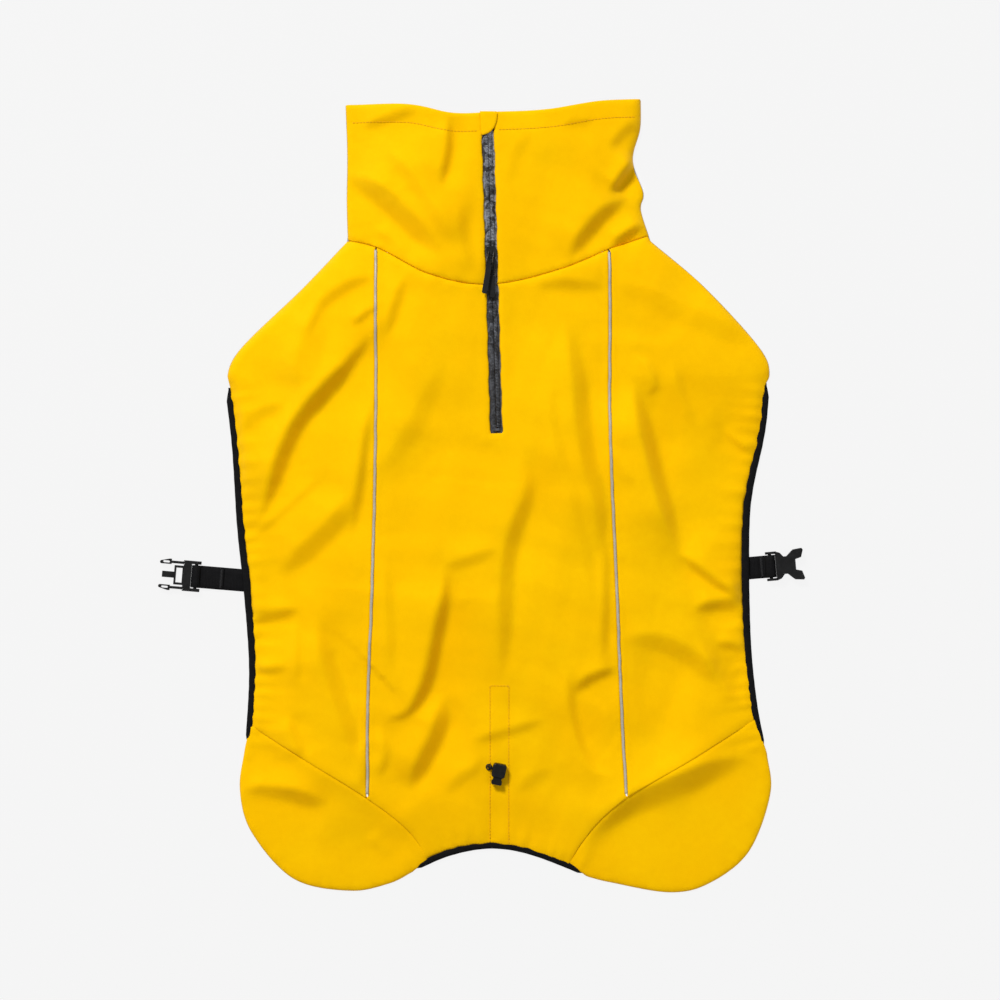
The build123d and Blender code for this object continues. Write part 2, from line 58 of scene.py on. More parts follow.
VIEW_WIDTH = 880 * MM
VIEW_CENTRE = (1.3 * MM, -2.6 * MM)
VIEW_LEVEL = 12 * MM
CAMERA_HEIGHT = 3.2
SENSOR = 36.0
SKY_COLOR = (1.0, 0.995, 0.985, 1)
SKY_STRENGTH = 0.34
FLOOR_HALF = 12.0
FLOOR_COLOR = (0.03, 0.03, 0.03, 1)
FLOOR_GLOW = 0.885


def add_object(name, data):
    obj = bpy.data.objects.new(name, data)
    bpy.context.scene.collection.objects.link(obj)
    return obj


def add_camera():
    data = bpy.data.cameras.new("camera")
    data.sensor_width = SENSOR
    data.lens = SENSOR * CAMERA_HEIGHT / VIEW_WIDTH
    camera = add_object("camera", data)
    camera.location = (*VIEW_CENTRE, CAMERA_HEIGHT + VIEW_LEVEL)
    bpy.context.scene.camera = camera


def add_area_light(name, place, size, energy):
    """A square light that points at the middle of the floor."""
    data = bpy.data.lights.new(name, "AREA")
    data.size = size
    data.energy = energy
    light = add_object(name, data)
    light.location = place
    light.rotation_euler = (-Vector(place)).to_track_quat("-Z", "Y").to_euler()


def add_lights():
    add_area_light("key", (-2.47, 4.29, 4.95), size=1.5, energy=420)
    add_area_light("fill", (3.2, -1.0, 4.0), size=2.4, energy=22)
    world = bpy.data.worlds.new("studio")
    world.use_nodes = True
    background = world.node_tree.nodes["Background"]
    background.inputs["Color"].default_value = SKY_COLOR
    background.inputs["Strength"].default_value = SKY_STRENGTH
    bpy.context.scene.world = world
    bpy.context.scene.view_settings.view_transform = "Standard"


def add_floor():
    mesh = bpy.data.meshes.new("floor")
    corners = [(x * FLOOR_HALF, y * FLOOR_HALF, 0) for x, y in ((-1, -1), (1, -1), (1, 1), (-1, 1))]
    mesh.from_pydata(corners, [], [(0, 1, 2, 3)])
    floor = add_object("floor", mesh)
    material = bpy.data.materials.new("floor")
    material.use_nodes = True
    inputs = material.node_tree.nodes["Principled BSDF"].inputs
    for name, value in (("Base Color", FLOOR_COLOR), ("Roughness", 0.95), ("Specular IOR Level", 0.0),
                        ("Emission Color", (1, 1, 1, 1)), ("Emission Strength", FLOOR_GLOW)):
        inputs[name].default_value = value
    mesh.materials.append(material)


# ------------------------------ paths

def smooth_path(points, spacing=3.0):
    """A Catmull-Rom curve through the points, as rows of x, y about spacing apart."""
    p = np.array(points, float)
    padded = np.vstack([2 * p[0] - p[1], p, 2 * p[-1] - p[-2]])
    out = []
    for i in range(len(p) - 1):
        a, b, c, d = padded[i:i + 4]
        count = max(2, int(np.linalg.norm(c - b) / spacing))
        t = np.linspace(0, 1, count, endpoint=False)[:, None]
        out.append(0.5 * (2 * b + (c - a) * t + (2 * a - 5 * b + 4 * c - d) * t ** 2
                          + (3 * b - a - 3 * c + d) * t ** 3))
    return np.vstack(out + [p[-1:]])


def run_lengths(path):
    """The run from the path's start to each of its points."""
    return np.concatenate([[0], np.cumsum(np.linalg.norm(np.diff(path, axis=0), axis=1))])


def resample(path, spacing):
    """The path with its points at even steps of about spacing."""
    run = run_lengths(path)
    count = max(2, int(round(run[-1] / spacing)) + 1)
    at = np.linspace(0, run[-1], count)
    return np.stack([np.interp(at, run, path[:, k]) for k in range(path.shape[1])], axis=1)


def tangents(path):
    t = np.gradient(path, axis=0)
    return t / np.maximum(np.linalg.norm(t, axis=1), 1e-9)[:, None]


def offset_path(path, distance):
    """The path moved to its left by distance, which may be one value for each point."""
    t = tangents(path)
    return path + np.reshape(distance, (-1, 1)) * np.stack([-t[:, 1], t[:, 0]], axis=1)


def along(points, path):
    """For each point: its signed distance from the path (left is positive), the run along it, and 0..1."""
    best = np.full(len(points), 1e18)
    side = np.zeros(len(points))
    run = np.zeros(len(points))
    runs = run_lengths(path)
    for i in range(len(path) - 1):
        a = path[i]
        step = path[i + 1] - a
        size = np.dot(step, step)
        if size < 1e-12:
            continue
        rel = points - a
        t = np.clip(rel @ step / size, 0, 1)
        away = rel - t[:, None] * step
        squared = np.einsum("ij,ij->i", away, away)
        near = squared < best
        best[near] = squared[near]
        side[near] = np.sign(step[0] * rel[near, 1] - step[1] * rel[near, 0])
        run[near] = runs[i] + t[near] * math.sqrt(size)
    return np.sqrt(best) * np.where(side == 0, 1, side), run, run / runs[-1]


def away_from(points, path):
    """Each point's distance from the path."""
    return np.abs(along(points, path)[0])


def bell(distance, reach, power=2):
    """1 at no distance, falling smoothly to nothing beyond reach."""
    return np.exp(-(distance / reach) ** power)


def closed(loop):
    return np.vstack([loop, loop[:1]])


def stretch(path, start, end, offset=0.0):
    """The part of a path, moved to its left by offset, between its points nearest to start and to end."""
    path = offset_path(path, offset) if offset else path
    i = int(np.argmin(np.linalg.norm(path - np.array(start), axis=1)))
    j = int(np.argmin(np.linalg.norm(path - np.array(end), axis=1)))
    return path[i:j + 1] if i <= j else path[j:i + 1][::-1]


def crossing(a, b):
    """The point where two paths come closest."""
    gaps = np.linalg.norm(a[:, None, :] - b[None, :, :], axis=2)
    i, j = np.unravel_index(np.argmin(gaps), gaps.shape)
    return (a[i] + b[j]) / 2


def random_run(length, pitch, seed):
    """A smooth random line through -1..1 with about one bump every two pitches."""
    local = np.random.default_rng(seed)
    count = max(4, int(length / pitch) + 3)
    knots = np.cumsum(local.uniform(0.4, 1.8, count))
    knots = (knots - knots[0]) / (knots[-1] - knots[0]) * length
    values = local.uniform(0.1, 1.0, count) * np.where(np.arange(count) % 2, 1, -1)
    fine = np.linspace(0, length, count * 12)
    line = np.interp(fine, knots, values)
    kernel = np.hanning(13)
    return fine, np.convolve(line, kernel / kernel.sum(), mode="same")


def random_along(path, pitch, seed):
    """A smooth random value for each point of the path."""
    run = run_lengths(path)
    return np.interp(run, *random_run(run[-1], pitch, seed))


# ------------------------------ the garment's lines, as in the CAD model

NECK_LEFT, NECK_RIGHT = (-133, 226), (134, 226)
TOP_LEFT, TOP_RIGHT = (-135, 346), (125.5, 351)
LEFT_COLLAR_EDGE = smooth_path([(-133, 226), (-134, 262), (-133.5, 300), (-135, 346)])
COLLAR_TOP_EDGE = smooth_path([
    (-135, 346), (-78, 345), (-40, 337.5), (2, 338.5), (45, 341), (88, 348.5), (125.5, 351)])
RIGHT_COLLAR_EDGE = smooth_path([
    (125.5, 351), (125, 325), (118.5, 297), (128, 268), (125.5, 254), (134, 226)])
RIGHT_SHOULDER = smooth_path([(134, 226), (183, 184), (233, 128), (239.8, 100)])
RIGHT_SIDE = smooth_path([
    (239.8, 100), (235.5, 57), (224, 1), (221.5, -47), (223, -126), (228.5, -182), (237, -226)])
RIGHT_LEG_EDGE = smooth_path([
    (237, -226), (240, -262), (221, -313), (186, -341), (151, -349), (98, -340), (78, -335)])
HEM_EDGE = smooth_path([(78, -335), (28, -316), (-7.5, -310.6), (-43, -317), (-76, -331)])
LEFT_LEG_EDGE = smooth_path([
    (-76, -331), (-96, -341), (-131, -347.6), (-181, -337), (-218, -296), (-228.4, -258), (-224, -222)])
LEFT_SIDE = smooth_path([(-224, -222), (-220.5, -154), (-225, -84), (-231, -27), (-235.5, 43), (-241.6, 96)])
LEFT_SHOULDER = smooth_path([(-241.6, 96), (-230, 128), (-173, 184), (-133, 226)])
COLLAR_SEAM = smooth_path([
    (-150, 229), (-108, 220), (-60, 195.5), (-7.5, 186.6), (54, 200), (102, 220), (150, 236)])
LEFT_PIPING = smooth_path([(-108, 222), (-108, 160), (-108, 60), (-111, -80), (-115, -180), (-115.5, -266)])
RIGHT_PIPING = smooth_path([(97.5, 220), (98, 160), (98, 60), (104, -80), (108, -180), (112.5, -265)])
LEFT_LEG_SEAM = smooth_path([(-245, -184), (-175, -227), (-111, -267), (-73, -300), (-55, -340)])
RIGHT_LEG_SEAM = smooth_path([(250, -181), (177, -225), (107, -267), (73, -303), (54, -340)])
CHEST_REAR_EDGE = smooth_path([
    (-243, 100), (-185, 108), (-122, 86), (-68, 20), (0, -22), (68, 20), (122, 86), (185, 108), (242, 104)])
THROAT_SEAM = smooth_path([(-150, 222), (-60, 212), (0, 209), (60, 212), (150, 226)])
SHOULDER_PATHS = [LEFT_SHOULDER, LEFT_COLLAR_EDGE, RIGHT_COLLAR_EDGE, RIGHT_SHOULDER]
SEAM_PATHS = {"collar": COLLAR_SEAM, "left_leg": LEFT_LEG_SEAM[::-1], "right_leg": RIGHT_LEG_SEAM}
PIPING_PATHS = {"left": LEFT_PIPING, "right": RIGHT_PIPING}

RIM_HEIGHT = 3.2
CROWN_HEIGHT = 18.0
CROWN_SHOULDER = 2.0
CROWN_FLAT_Y = 60.0
CROWN_FALL_LENGTH = 380.0
LEG_PUFF_HEIGHT = 10.0
LEG_PUFF_AT = (150.0, -285.0)
LEG_PUFF_RADIUS = 55.0
HALF_WIDTHS = [(-360, 238), (-260, 238), (-180, 222), (-30, 228), (107, 243), (226, 136), (360, 136)]
BINDING_WIDTH = 7.5
HEM_BINDING_WIDTH = 7.0
PIPING_SLOT = 3.0
ZIP_FOOT = (-1.8, 56.0)
ZIP_TURN = math.radians(1.64)
ZIP_FACE_Z = RIM_HEIGHT + CROWN_HEIGHT - 1.9
ZIP_SLOT_HALF = 5.0
COLLAR_HEM = 16.0
CHEST_BINDING_WIDTH = 8.0
ELASTIC_INSET = 6.0


class Edge:
    """One elastic or folded edge of the garment, with its own random gathers."""

    def __init__(self, path, pitch, seed):
        self.path = path
        self.runs, self.bumps = random_run(run_lengths(path)[-1], pitch, seed)

    def gathers(self, run):
        return np.interp(run, self.runs, self.bumps)


EDGES = {
    "left_side": Edge(LEFT_SIDE, 6.5, 3),
    "right_side": Edge(RIGHT_SIDE, 6.5, 4),
    "hem": Edge(HEM_EDGE, 7.0, 5),
    "left_leg": Edge(LEFT_LEG_EDGE, 9.0, 6),
    "right_leg": Edge(RIGHT_LEG_EDGE, 9.0, 7),
}


# ------------------------------ the height of the fabric

# Each fold is (drop, half width, high tail, low tail, line): the cloth falls by drop across a band along the
# line, from its left to its right, and gets back to the level of the rest within the two tails.
FOLDS = [
    # left side panel
    (8.6, 6.5, 30, 20,
     [(-214, -28), (-200, 5), (-190, 35), (-178, 62), (-160, 85), (-135, 112), (-106, 149)]),
    (2.8, 5, 16, 14, [(-168, 138), (-158, 165), (-135, 184), (-105, 195)]),
    (5.0, 12, 24, 22, [(-174, 92), (-163, 135), (-152, 168)]),
    (3.6, 4.5, 14, 7, [(-129, -38), (-122, 8), (-116, 50), (-109, 92)]),
    (4.8, 9, 22, 16, [(-194, -70), (-167, -46), (-142, -22), (-126, 6)]),
    (0.9, 2.2, 8, 8, [(-224, -42), (-190, -14), (-150, 22)]),
    (5.4, 8, 22, 12, [(-122, -246), (-135, -192), (-148, -150), (-161, -102)]),
    (3.0, 4.5, 12, 12, [(-226, -107), (-195, -104), (-172, -99)]),
    (1.6, 3, 10, 10, [(-176, -168), (-176, -104)]),
    (2.2, 6, 12, 14, [(-230, 58), (-210, 72), (-186, 81)]),
    (2.4, 4, 12, 10, [(-170, -230), (-186, -192)]),
    (2.0, 4, 10, 5, [(-120, -262), (-116, -212)]),
    (2.0, 2.8, 8, 8, [(-130, 150), (-106, 168)]),
    (1.8, 4, 9, 9, [(-226, -150), (-204, -154), (-184, -148)]),
    # back panel
    (2.8, 4.5, 14, 10, [(-99, 138), (-91, 165), (-80, 197)]),
    (2.0, 8, 20, 18, [(-108, 16), (-80, 50), (-62, 85), (-47, 120)]),
    (2.2, 5, 14, 12, [(-93, -158), (-95, -100), (-99, -48)]),
    (7.0, 5.4, 28, 18, [(-104, -199), (-77, -188), (-62, -160), (-53, -120), (-46, -85), (-47, -58)]),
    (7.0, 8, 24, 12, [(-80, -260), (-65, -232), (-52, -205), (-46, -172)]),
    (2.0, 4, 9, 8, [(-106, -250), (-98, -225), (-103, -200)]),
    (4.6, 7, 26, 20, [(2, -170), (6, -120), (7, -80), (12, -40), (22, -12), (28, 8), (24, 44)]),
    (2.0, 5, 16, 16, [(-50, -62), (-25, -56), (2, -45)]),
    (6.0, 8, 26, 14, [(94, -64), (90, -10), (80, 30), (75, 60), (72, 95), (66, 130), (56, 166)]),
    (1.8, 5, 14, 14, [(86, -114), (80, -60), (66, 0), (50, 60), (48, 112)]),
    (2.6, 4.5, 12, 6, [(92, -150), (95, -90), (96, -36)]),
    (3.4, 4.5, 12, 14, [(66, -174), (80, -160), (106, -151)]),
    (2.8, 4, 12, 12, [(106, -244), (85, -239), (72, -215), (65, -185), (62, -146)]),
    (1.6, 4, 10, 12, [(-28, -216), (5, -208), (46, -195)]),
    (2.2, 5, 12, 14, [(28, 184), (60, 187), (96, 184)]),
    (1.4, 6, 12, 12, [(8, -260), (50, -239)]),
    (1.6, 5, 12, 10, [(-48, -264), (-30, -246), (-4, -238)]),
    # right side panel
    (2.8, 10, 16, 24, [(100, 186), (125, 179), (150, 166), (190, 150), (224, 131)]),
    (8.0, 7, 30, 18, [(160, -54), (152, -25), (144, 0), (136, 32), (128, 65), (118, 106)]),
    (4.2, 4, 16, 9, [(156, -48), (185, -71), (217, -93)]),
    (4.6, 5.5, 9, 12, [(170, -99), (195, -95), (219, -96)]),
    (2.2, 4, 10, 12, [(217, -182), (198, -162), (178, -124)]),
    (4.2, 9, 20, 22, [(106, -126), (140, -128), (175, -145), (207, -174)]),
    (1.4, 2.6, 8, 8, [(127, 87), (139, 97), (132, 118), (114, 128)]),
    (1.2, 2.6, 9, 9, [(176, 60), (163, 90), (153, 121)]),
    (1.8, 2.8, 8, 8, [(196, 60), (224, 35)]),
    (1.0, 2.2, 7, 7, [(121, 10), (101, 49)]),
    (2.2, 4, 9, 9, [(190, -128), (206, -132), (220, -140)]),
    # rear corners
    (5.2, 9, 12, 30, [(-236, -262), (-190, -263), (-148, -272)]),
    (5.2, 12, 10, 38, [(80, -300), (118, -272), (155, -255), (195, -240), (236, -230)]),
    (1.6, 5, 12, 12, [(-120, -300), (-96, -322)]),
    (1.4, 6, 14, 12, [(196, -318), (214, -290)]),
    # collar
    (7.4, 9.5, 22, 11, [(-136, 286), (-100, 262), (-75, 238), (-48, 210)]),
    (3.8, 6.5, 20, 14, [(-102, 308), (-75, 275), (-55, 245), (-38, 216)]),
    (3.2, 3.2, 14, 10, [(-51, 270), (-43, 308), (-44, 337)]),
    (2.2, 6, 14, 8, [(-19, 192), (-28, 225), (-33, 258)]),
    (5.4, 6, 20, 13, [(60, 207), (80, 235), (97, 252), (116, 264)]),
    (6.5, 3.0, 14, 7, [(98, 266), (112, 285), (124, 301)]),
    (4.6, 4, 9, 6, [(98, 220), (115, 232), (129, 240)]),
    (2.0, 4, 10, 10, [(96, 304), (110, 320), (124, 331)]),
    (2.0, 4, 10, 12, [(-123, 324), (-95, 333), (-68, 341)]),
    (1.0, 5, 14, 12, [(6, 268), (15, 300), (31, 322)]),
    (1.0, 3, 8, 8, [(54, 327), (86, 331)]),
    (1.6, 4, 8, 7, [(-112, 236), (-95, 224), (-80, 210)]),
]
FOLD_DEPTH = 2.75
WRINKLE_COUNT = 240


def scatter_wrinkles():
    """Short shallow creases all over the shell, where laminated cloth has been handled."""
    creases = []
    for _ in range(WRINKLE_COUNT):
        x, y = rng.uniform(-235, 235), rng.uniform(-340, 345)
        turn = rng.normal(math.radians(75), 0.6)
        half = rng.uniform(7, 26)
        bend = rng.uniform(-0.25, 0.25)
        dx, dy = math.cos(turn), math.sin(turn)
        points = [(x - dx * half, y - dy * half), (x - dy * half * bend, y + dx * half * bend),
                  (x + dx * half, y + dy * half)]
        half_band = rng.uniform(1.2, 3.0)
        tail = rng.uniform(5, 12)
        creases.append((rng.uniform(0.15, 0.6), half_band, tail, tail * rng.uniform(0.5, 1.0), points))
    return creases


WRINKLES = scatter_wrinkles()
WAVE_SIZES = ((1.1, 150), (0.9, 105), (0.7, 84), (0.5, 60), (0.34, 43), (0.22, 30), (0.16, 23))
WAVES = [(rng.uniform(0.35, 0.75) * size, rng.uniform(0, 2 * math.pi), rng.uniform(0, math.pi), length)
         for size, length in WAVE_SIZES]

# The facets' corners lie on a slanted lattice, scattered by FACET_SCATTER, out to FACET_REACH. Their heights
# are kept on a grid of FACET_STEP that covers FACET_HALF each way.
FACET_HEIGHT = 2.3
FACET_WIDTH, FACET_LENGTH = 44.0, 66.0
FACET_SCATTER = (19, 34)
FACET_SLANT = 0.6
FACET_REACH = (320, 628)
FACET_STEP = 3.0
FACET_HALF = (264.0, 372.0)


def facet_field():
    """Heights on a grid of large flat facets with soft creases between them, as stiff laminate falls."""
    local = np.random.default_rng(5)
    (reach_x, reach_y), (scatter_x, scatter_y) = FACET_REACH, FACET_SCATTER
    sites = []
    for j, y in enumerate(np.arange(-reach_y, reach_y + 1, FACET_LENGTH)):
        for x in np.arange(-reach_x, reach_x + 1, FACET_WIDTH):
            shift = FACET_WIDTH / 2 * (j % 2)
            sites.append((x + shift + local.uniform(-scatter_x, scatter_x),
                          y + FACET_SLANT * x + local.uniform(-scatter_y, scatter_y)))
    level = local.uniform(-FACET_HEIGHT, FACET_HEIGHT, len(sites))
    grid_x, grid_y = np.meshgrid(*(np.arange(-half, half + 1, FACET_STEP) for half in FACET_HALF))
    field = np.zeros(grid_x.shape)
    triangles = delaunay_2d_cdt([Vector(p) for p in sites], [], [], 0, 1e-4)
    corners = [np.array(v) for v in triangles[0]]
    levels = [level[source[0]] for source in triangles[3]]
    for a, b, c in triangles[2]:
        (ax, ay), (bx, by), (cx, cy) = corners[a], corners[b], corners[c]
        size = (by - cy) * (ax - cx) + (cx - bx) * (ay - cy)
        u = ((by - cy) * (grid_x - cx) + (cx - bx) * (grid_y - cy)) / size
        v = ((cy - ay) * (grid_x - cx) + (ax - cx) * (grid_y - cy)) / size
        inside = (u >= -1e-9) & (v >= -1e-9) & (u + v <= 1 + 1e-9)
        field[inside] = (u * levels[a] + v * levels[b] + (1 - u - v) * levels[c])[inside]
    kernel = np.hanning(7) / np.hanning(7).sum()
    for axis in (1, 0):
        field = np.apply_along_axis(np.convolve, axis, field, kernel, mode="same")
    return field


FACETS = facet_field()


def facets(points):
    """The facet field between its grid points."""
    place = (points + np.array(FACET_HALF)) / FACET_STEP
    place = np.clip(place, 0, np.array(FACETS.shape[::-1]) - 1.001)
    low = place.astype(int)
    u, v = (place - low).T
    i, j = low.T
    return ((1 - u) * (1 - v) * FACETS[j, i] + u * (1 - v) * FACETS[j, i + 1]
            + (1 - u) * v * FACETS[j + 1, i] + u * v * FACETS[j + 1, i + 1])


def add_folds(points, height, folds, spacing, taper, depth=1.0):
    """Adds each fold's drop to the heights. Its band narrows and its drop fades within taper of both ends."""
    for drop, half, high, low, line in folds:
        path = smooth_path(line, spacing)
        reach = half + 4 * max(high, low)
        lowest, highest = path.min(0) - reach, path.max(0) + reach
        near = np.all((points > lowest) & (points < highest), axis=1)
        if not near.any():
            continue
        d, _, t = along(points[near], path)
        ends = np.clip(np.minimum(t, 1 - t) / taper, 0, 1)
        ends = ends * ends * (3 - 2 * ends)
        band = half * (0.35 + 0.75 * ends)
        core, shoulder = d / band, (d + 1.3 * band) / (2.6 * band)
        across = 0.62 * core / (1 + core ** 4) ** 0.25 + 0.5 * shoulder / (1 + shoulder ** 4) ** 0.25
        tail = np.where(d > 0, high, low)
        height[near] += (0.5 * (drop * depth) * ends * across
                         * np.exp(-np.maximum(np.abs(d) - 0.8 * band, 0) / tail))


def crown(points):
    """The CAD shell's outer face."""
    x, y = points[:, 0], points[:, 1]
    stations, widths = zip(*HALF_WIDTHS)
    across = np.abs(x) / np.interp(y, stations, widths)
    behind = np.clip((CROWN_FLAT_Y - y) / CROWN_FALL_LENGTH, 0, 1)
    from_puff = (np.abs(x) - LEG_PUFF_AT[0]) ** 2 + (y - LEG_PUFF_AT[1]) ** 2
    puff = LEG_PUFF_HEIGHT * np.exp(-from_puff / LEG_PUFF_RADIUS ** 2)
    return RIM_HEIGHT + CROWN_HEIGHT * np.exp(-CROWN_SHOULDER * across ** 4) * (1 - behind ** 2) + puff


def zip_frame_points(points):
    """Points in the zip's own frame: across it, and along it from the slot's lower end."""
    rel = points - np.array(ZIP_FOOT)
    c, s = math.cos(ZIP_TURN), math.sin(ZIP_TURN)
    return np.stack([rel[:, 0] * c + rel[:, 1] * s, -rel[:, 0] * s + rel[:, 1] * c], axis=1)


ZIP_CALM_HALF = 6
ZIP_CALM_REACH = 11
ZIP_CLOTH_LIFT = 0.15


def flatten_by_zip(points, height):
    """The stiff zip keeps the cloth beside it level, at the height of the tapes."""
    local = zip_frame_points(points)
    reach = np.hypot(np.maximum(np.abs(local[:, 0]) - ZIP_CALM_HALF, 0), np.maximum(-local[:, 1] - 2, 0))
    height += (RIM_HEIGHT + CROWN_HEIGHT + ZIP_CLOTH_LIFT - height) * bell(reach, ZIP_CALM_REACH)


def curl_down(height, away, curl, rim, floor):
    """Rounds the cloth over within curl of an edge, so that it meets the level floor at rim."""
    rise = np.clip((away - rim) / (curl - rim), 0, 1)
    profile = np.sqrt(np.maximum(0, 1 - (1 - rise) ** 2))
    inside = away < curl
    height[inside] = (floor + (height - floor) * profile)[inside]


FOLD_MIDDLE = 3.2
LOWEST = 0.9
FACET_FADE = 60
# the rear corners: the level their cloth falls to at the elastic, the least level over it, the power of the
# fall, the width beside the seam that stays up, and the step down to the body's cloth at the seam
CORNER_EDGE = 4.4
CORNER_LEAST = 5.0
CORNER_FALL = 1.7
CORNER_FLAT = 4
CORNER_STEP = 1.25
# the cord lock rests on calm cloth: its spot, the calm's reach and how far the cloth lies under the crown
LOCK_SPOT = (-0.2, -243.5)
LOCK_CALM = 20
LOCK_DROP = 0.35
# elastic edges: height and reach of the gathers, where the curl starts and ends, its lowest level and how
# much the gathers lift that
LEG_EDGE = (0.5, 7.0, 15.0, 0.0, 2.6, 0.5)
BOUND_EDGE = (3.8, 12.0, 18.0, 6.9, 4.35, 0.6)
SHOULDER_CURL = 7


def fabric_height(points, panel=None):
    """Height of the upper fabric's outer face at rows of x, y. A panel keeps its level beyond its seams."""
    points = np.asarray(points, float)
    height = crown(points)
    corners = {}
    for name in ("left_leg", "right_leg"):
        seam = SEAM_PATHS[name]
        from_seam, run, _ = along(points, seam)
        corner = from_seam > 0 if panel is None else np.full(len(points), panel == name + "_flap")
        corners[name] = corner
        if corner.any():
            feet = np.column_stack([np.interp(run[corner], run_lengths(seam), seam[:, k]) for k in (0, 1)])
            from_edge = away_from(points[corner], EDGES[name].path)
            share = from_edge / (from_edge + np.maximum(from_seam[corner] - CORNER_FLAT, 0) + 1e-6)
            height[corner] = CORNER_EDGE + (crown(feet) - CORNER_EDGE) * share ** CORNER_FALL
    hems = [away_from(points, edge.path) for edge in EDGES.values()]
    height += facets(points) * np.clip(np.min(hems, axis=0) / FACET_FADE, 0, 1)
    for size, phase, turn, length in WAVES:
        swing = points[:, 0] * math.cos(turn) + points[:, 1] * math.sin(turn)
        bend = 14 * np.sin(points[:, 0] * 0.021 + phase * 2) + 11 * np.sin(points[:, 1] * 0.017 + phase)
        height += size * np.sin(2 * math.pi * (swing + bend) / length + phase)
    add_folds(points, height, FOLDS, spacing=8, taper=0.32, depth=FOLD_DEPTH)
    add_folds(points, height, WRINKLES, spacing=12, taper=0.45)
    for corner in corners.values():
        height[corner] = np.logaddexp(height[corner], CORNER_LEAST)

    # the sewn seams pull a shallow valley, and the body stands over the rear corners' seams
    for name, path in SEAM_PATHS.items():
        d, run, _ = along(points, path)
        if name == "collar":
            height -= 0.6 * bell(d, 2.6)
            height += 0.4 * np.sin(run * 0.33) * bell(d, 9)
        else:
            height += np.where(corners[name], 1.2 * bell(d, 12) - CORNER_STEP,
                               1.6 * bell(d, 24) - 0.7 * bell(d, 2.0))
    for path in PIPING_PATHS.values():
        d, _, t = along(points, path)
        height += (0.5 * bell(d, 3.0) - 0.35 * bell(np.abs(d) - 6, 4)) * (t > 0) * (t < 1)
    flatten_by_zip(points, height)
    from_lock = np.hypot(points[:, 0] - LOCK_SPOT[0], points[:, 1] - LOCK_SPOT[1])
    height += (crown(points) - LOCK_DROP - height) * bell(from_lock, LOCK_CALM, 6)

    # elastic edges: gathers that die out inwards, and the cloth curling down to the table
    for name, edge in EDGES.items():
        d, run, _ = along(points, edge.path)
        away, bumps = np.abs(d), edge.gathers(run)
        size, reach, curl, rim, level, ripple = LEG_EDGE if name.endswith("leg") else BOUND_EDGE
        height += size * bumps * np.exp(-away / reach) * np.clip(away / 3, 0, 1)
        curl_down(height, away, curl, rim, level + ripple * bumps)
    for path in SHOULDER_PATHS:
        curl_down(height, away_from(points, path), SHOULDER_CURL, 0, FOLD_MIDDLE)
    return np.maximum(height, LOWEST)


# ------------------------------ mesh makers

def mesh_from(name, vertices, faces):
    """A smooth object from millimetres."""
    mesh = bpy.data.meshes.new(name)
    mesh.from_pydata((np.asarray(vertices, float) * MM).tolist(), [], [list(map(int, f)) for f in faces])
    mesh.validate()
    mesh.shade_smooth()
    return add_object(name, mesh)


def grid_quads(rows, count):
    """Faces of an open grid with rows of count vertices."""
    return [(a * count + i, a * count + i + 1, (a + 1) * count + i + 1, (a + 1) * count + i)
            for a in range(rows - 1) for i in range(count - 1)]


def ring_quads(rows, sides):
    """Faces round a stack of rings that have sides vertices each."""
    steps = [(j, (j + 1) % sides) for j in range(sides)]
    return [(i * sides + j, (i + 1) * sides + j, (i + 1) * sides + k, i * sides + k)
            for i in range(rows - 1) for j, k in steps]


def ring_ends(rows, sides):
    """The two faces that close a stack of rings."""
    return [tuple(range(sides)), tuple((rows - 1) * sides + j for j in reversed(range(sides)))]


def inside_polygon(points, polygon):
    x, y = points[:, 0], points[:, 1]
    inside = np.zeros(len(points), bool)
    previous = np.roll(polygon, 1, axis=0)
    for (x0, y0), (x1, y1) in zip(previous, polygon):
        if y0 == y1:
            continue
        crosses = ((y0 > y) != (y1 > y)) & (x < (x1 - x0) * (y - y0) / (y1 - y0) + x0)
        inside ^= crosses
    return inside


def clean_loop(loop, least=0.5):
    """A closed loop of points with none closer together than least."""
    kept = [loop[0]]
    for p in loop[1:]:
        if np.linalg.norm(p - kept[-1]) > least:
            kept.append(p)
    while np.linalg.norm(kept[-1] - kept[0]) <= least:
        kept.pop()
    return np.array(kept)


def flat_panel(loop, guide_lines=(), spacing=3.2):
    """Triangles that fill the loop: an even lattice, with closer rows along the edge and guide lines."""
    rim = clean_loop(resample(closed(loop), 2.4)[:-1])
    ring = closed(rim)
    rows = [resample(offset_path(ring, sign * d), 2.6) for d in (0.7, 1.7) for sign in (1, -1)]
    for line in guide_lines:
        rows += [resample(offset_path(line, d), 2.4) for d in (-1.7, -0.8, 0, 0.8, 1.7)]
    extra = np.vstack(rows)
    low, high = rim.min(0), rim.max(0)
    step_y = spacing * math.sqrt(3) / 2
    lattice = np.array([(x + (j % 2) * spacing / 2, low[1] + j * step_y)
                        for j in range(int((high[1] - low[1]) / step_y) + 1)
                        for x in np.arange(low[0], high[0], spacing)])
    lattice = lattice[inside_polygon(lattice, rim)]
    lattice = lattice[away_from(lattice, ring) > 3.2]
    for line in guide_lines:
        lattice = lattice[away_from(lattice, line) > 3.0]
    extra = extra[inside_polygon(extra, rim)]
    extra = extra[away_from(extra, ring) > 0.5]
    flat = [Vector(p) for p in np.vstack([rim, extra, lattice])]
    result = delaunay_2d_cdt(flat, [], [list(range(len(rim)))], 1, 1e-4)
    vertices = np.array([[v.x, v.y] for v in result[0]])
    faces = []
    for face in result[2]:
        (ax, ay), (bx, by), (cx, cy) = vertices[list(face)]
        faces.append(face if (bx - ax) * (cy - ay) - (by - ay) * (cx - ax) > 0 else face[::-1])
    return vertices, faces


def join_lines(*lines):
    """One loop from open lines laid end to end."""
    return clean_loop(np.vstack(lines), 0.3)


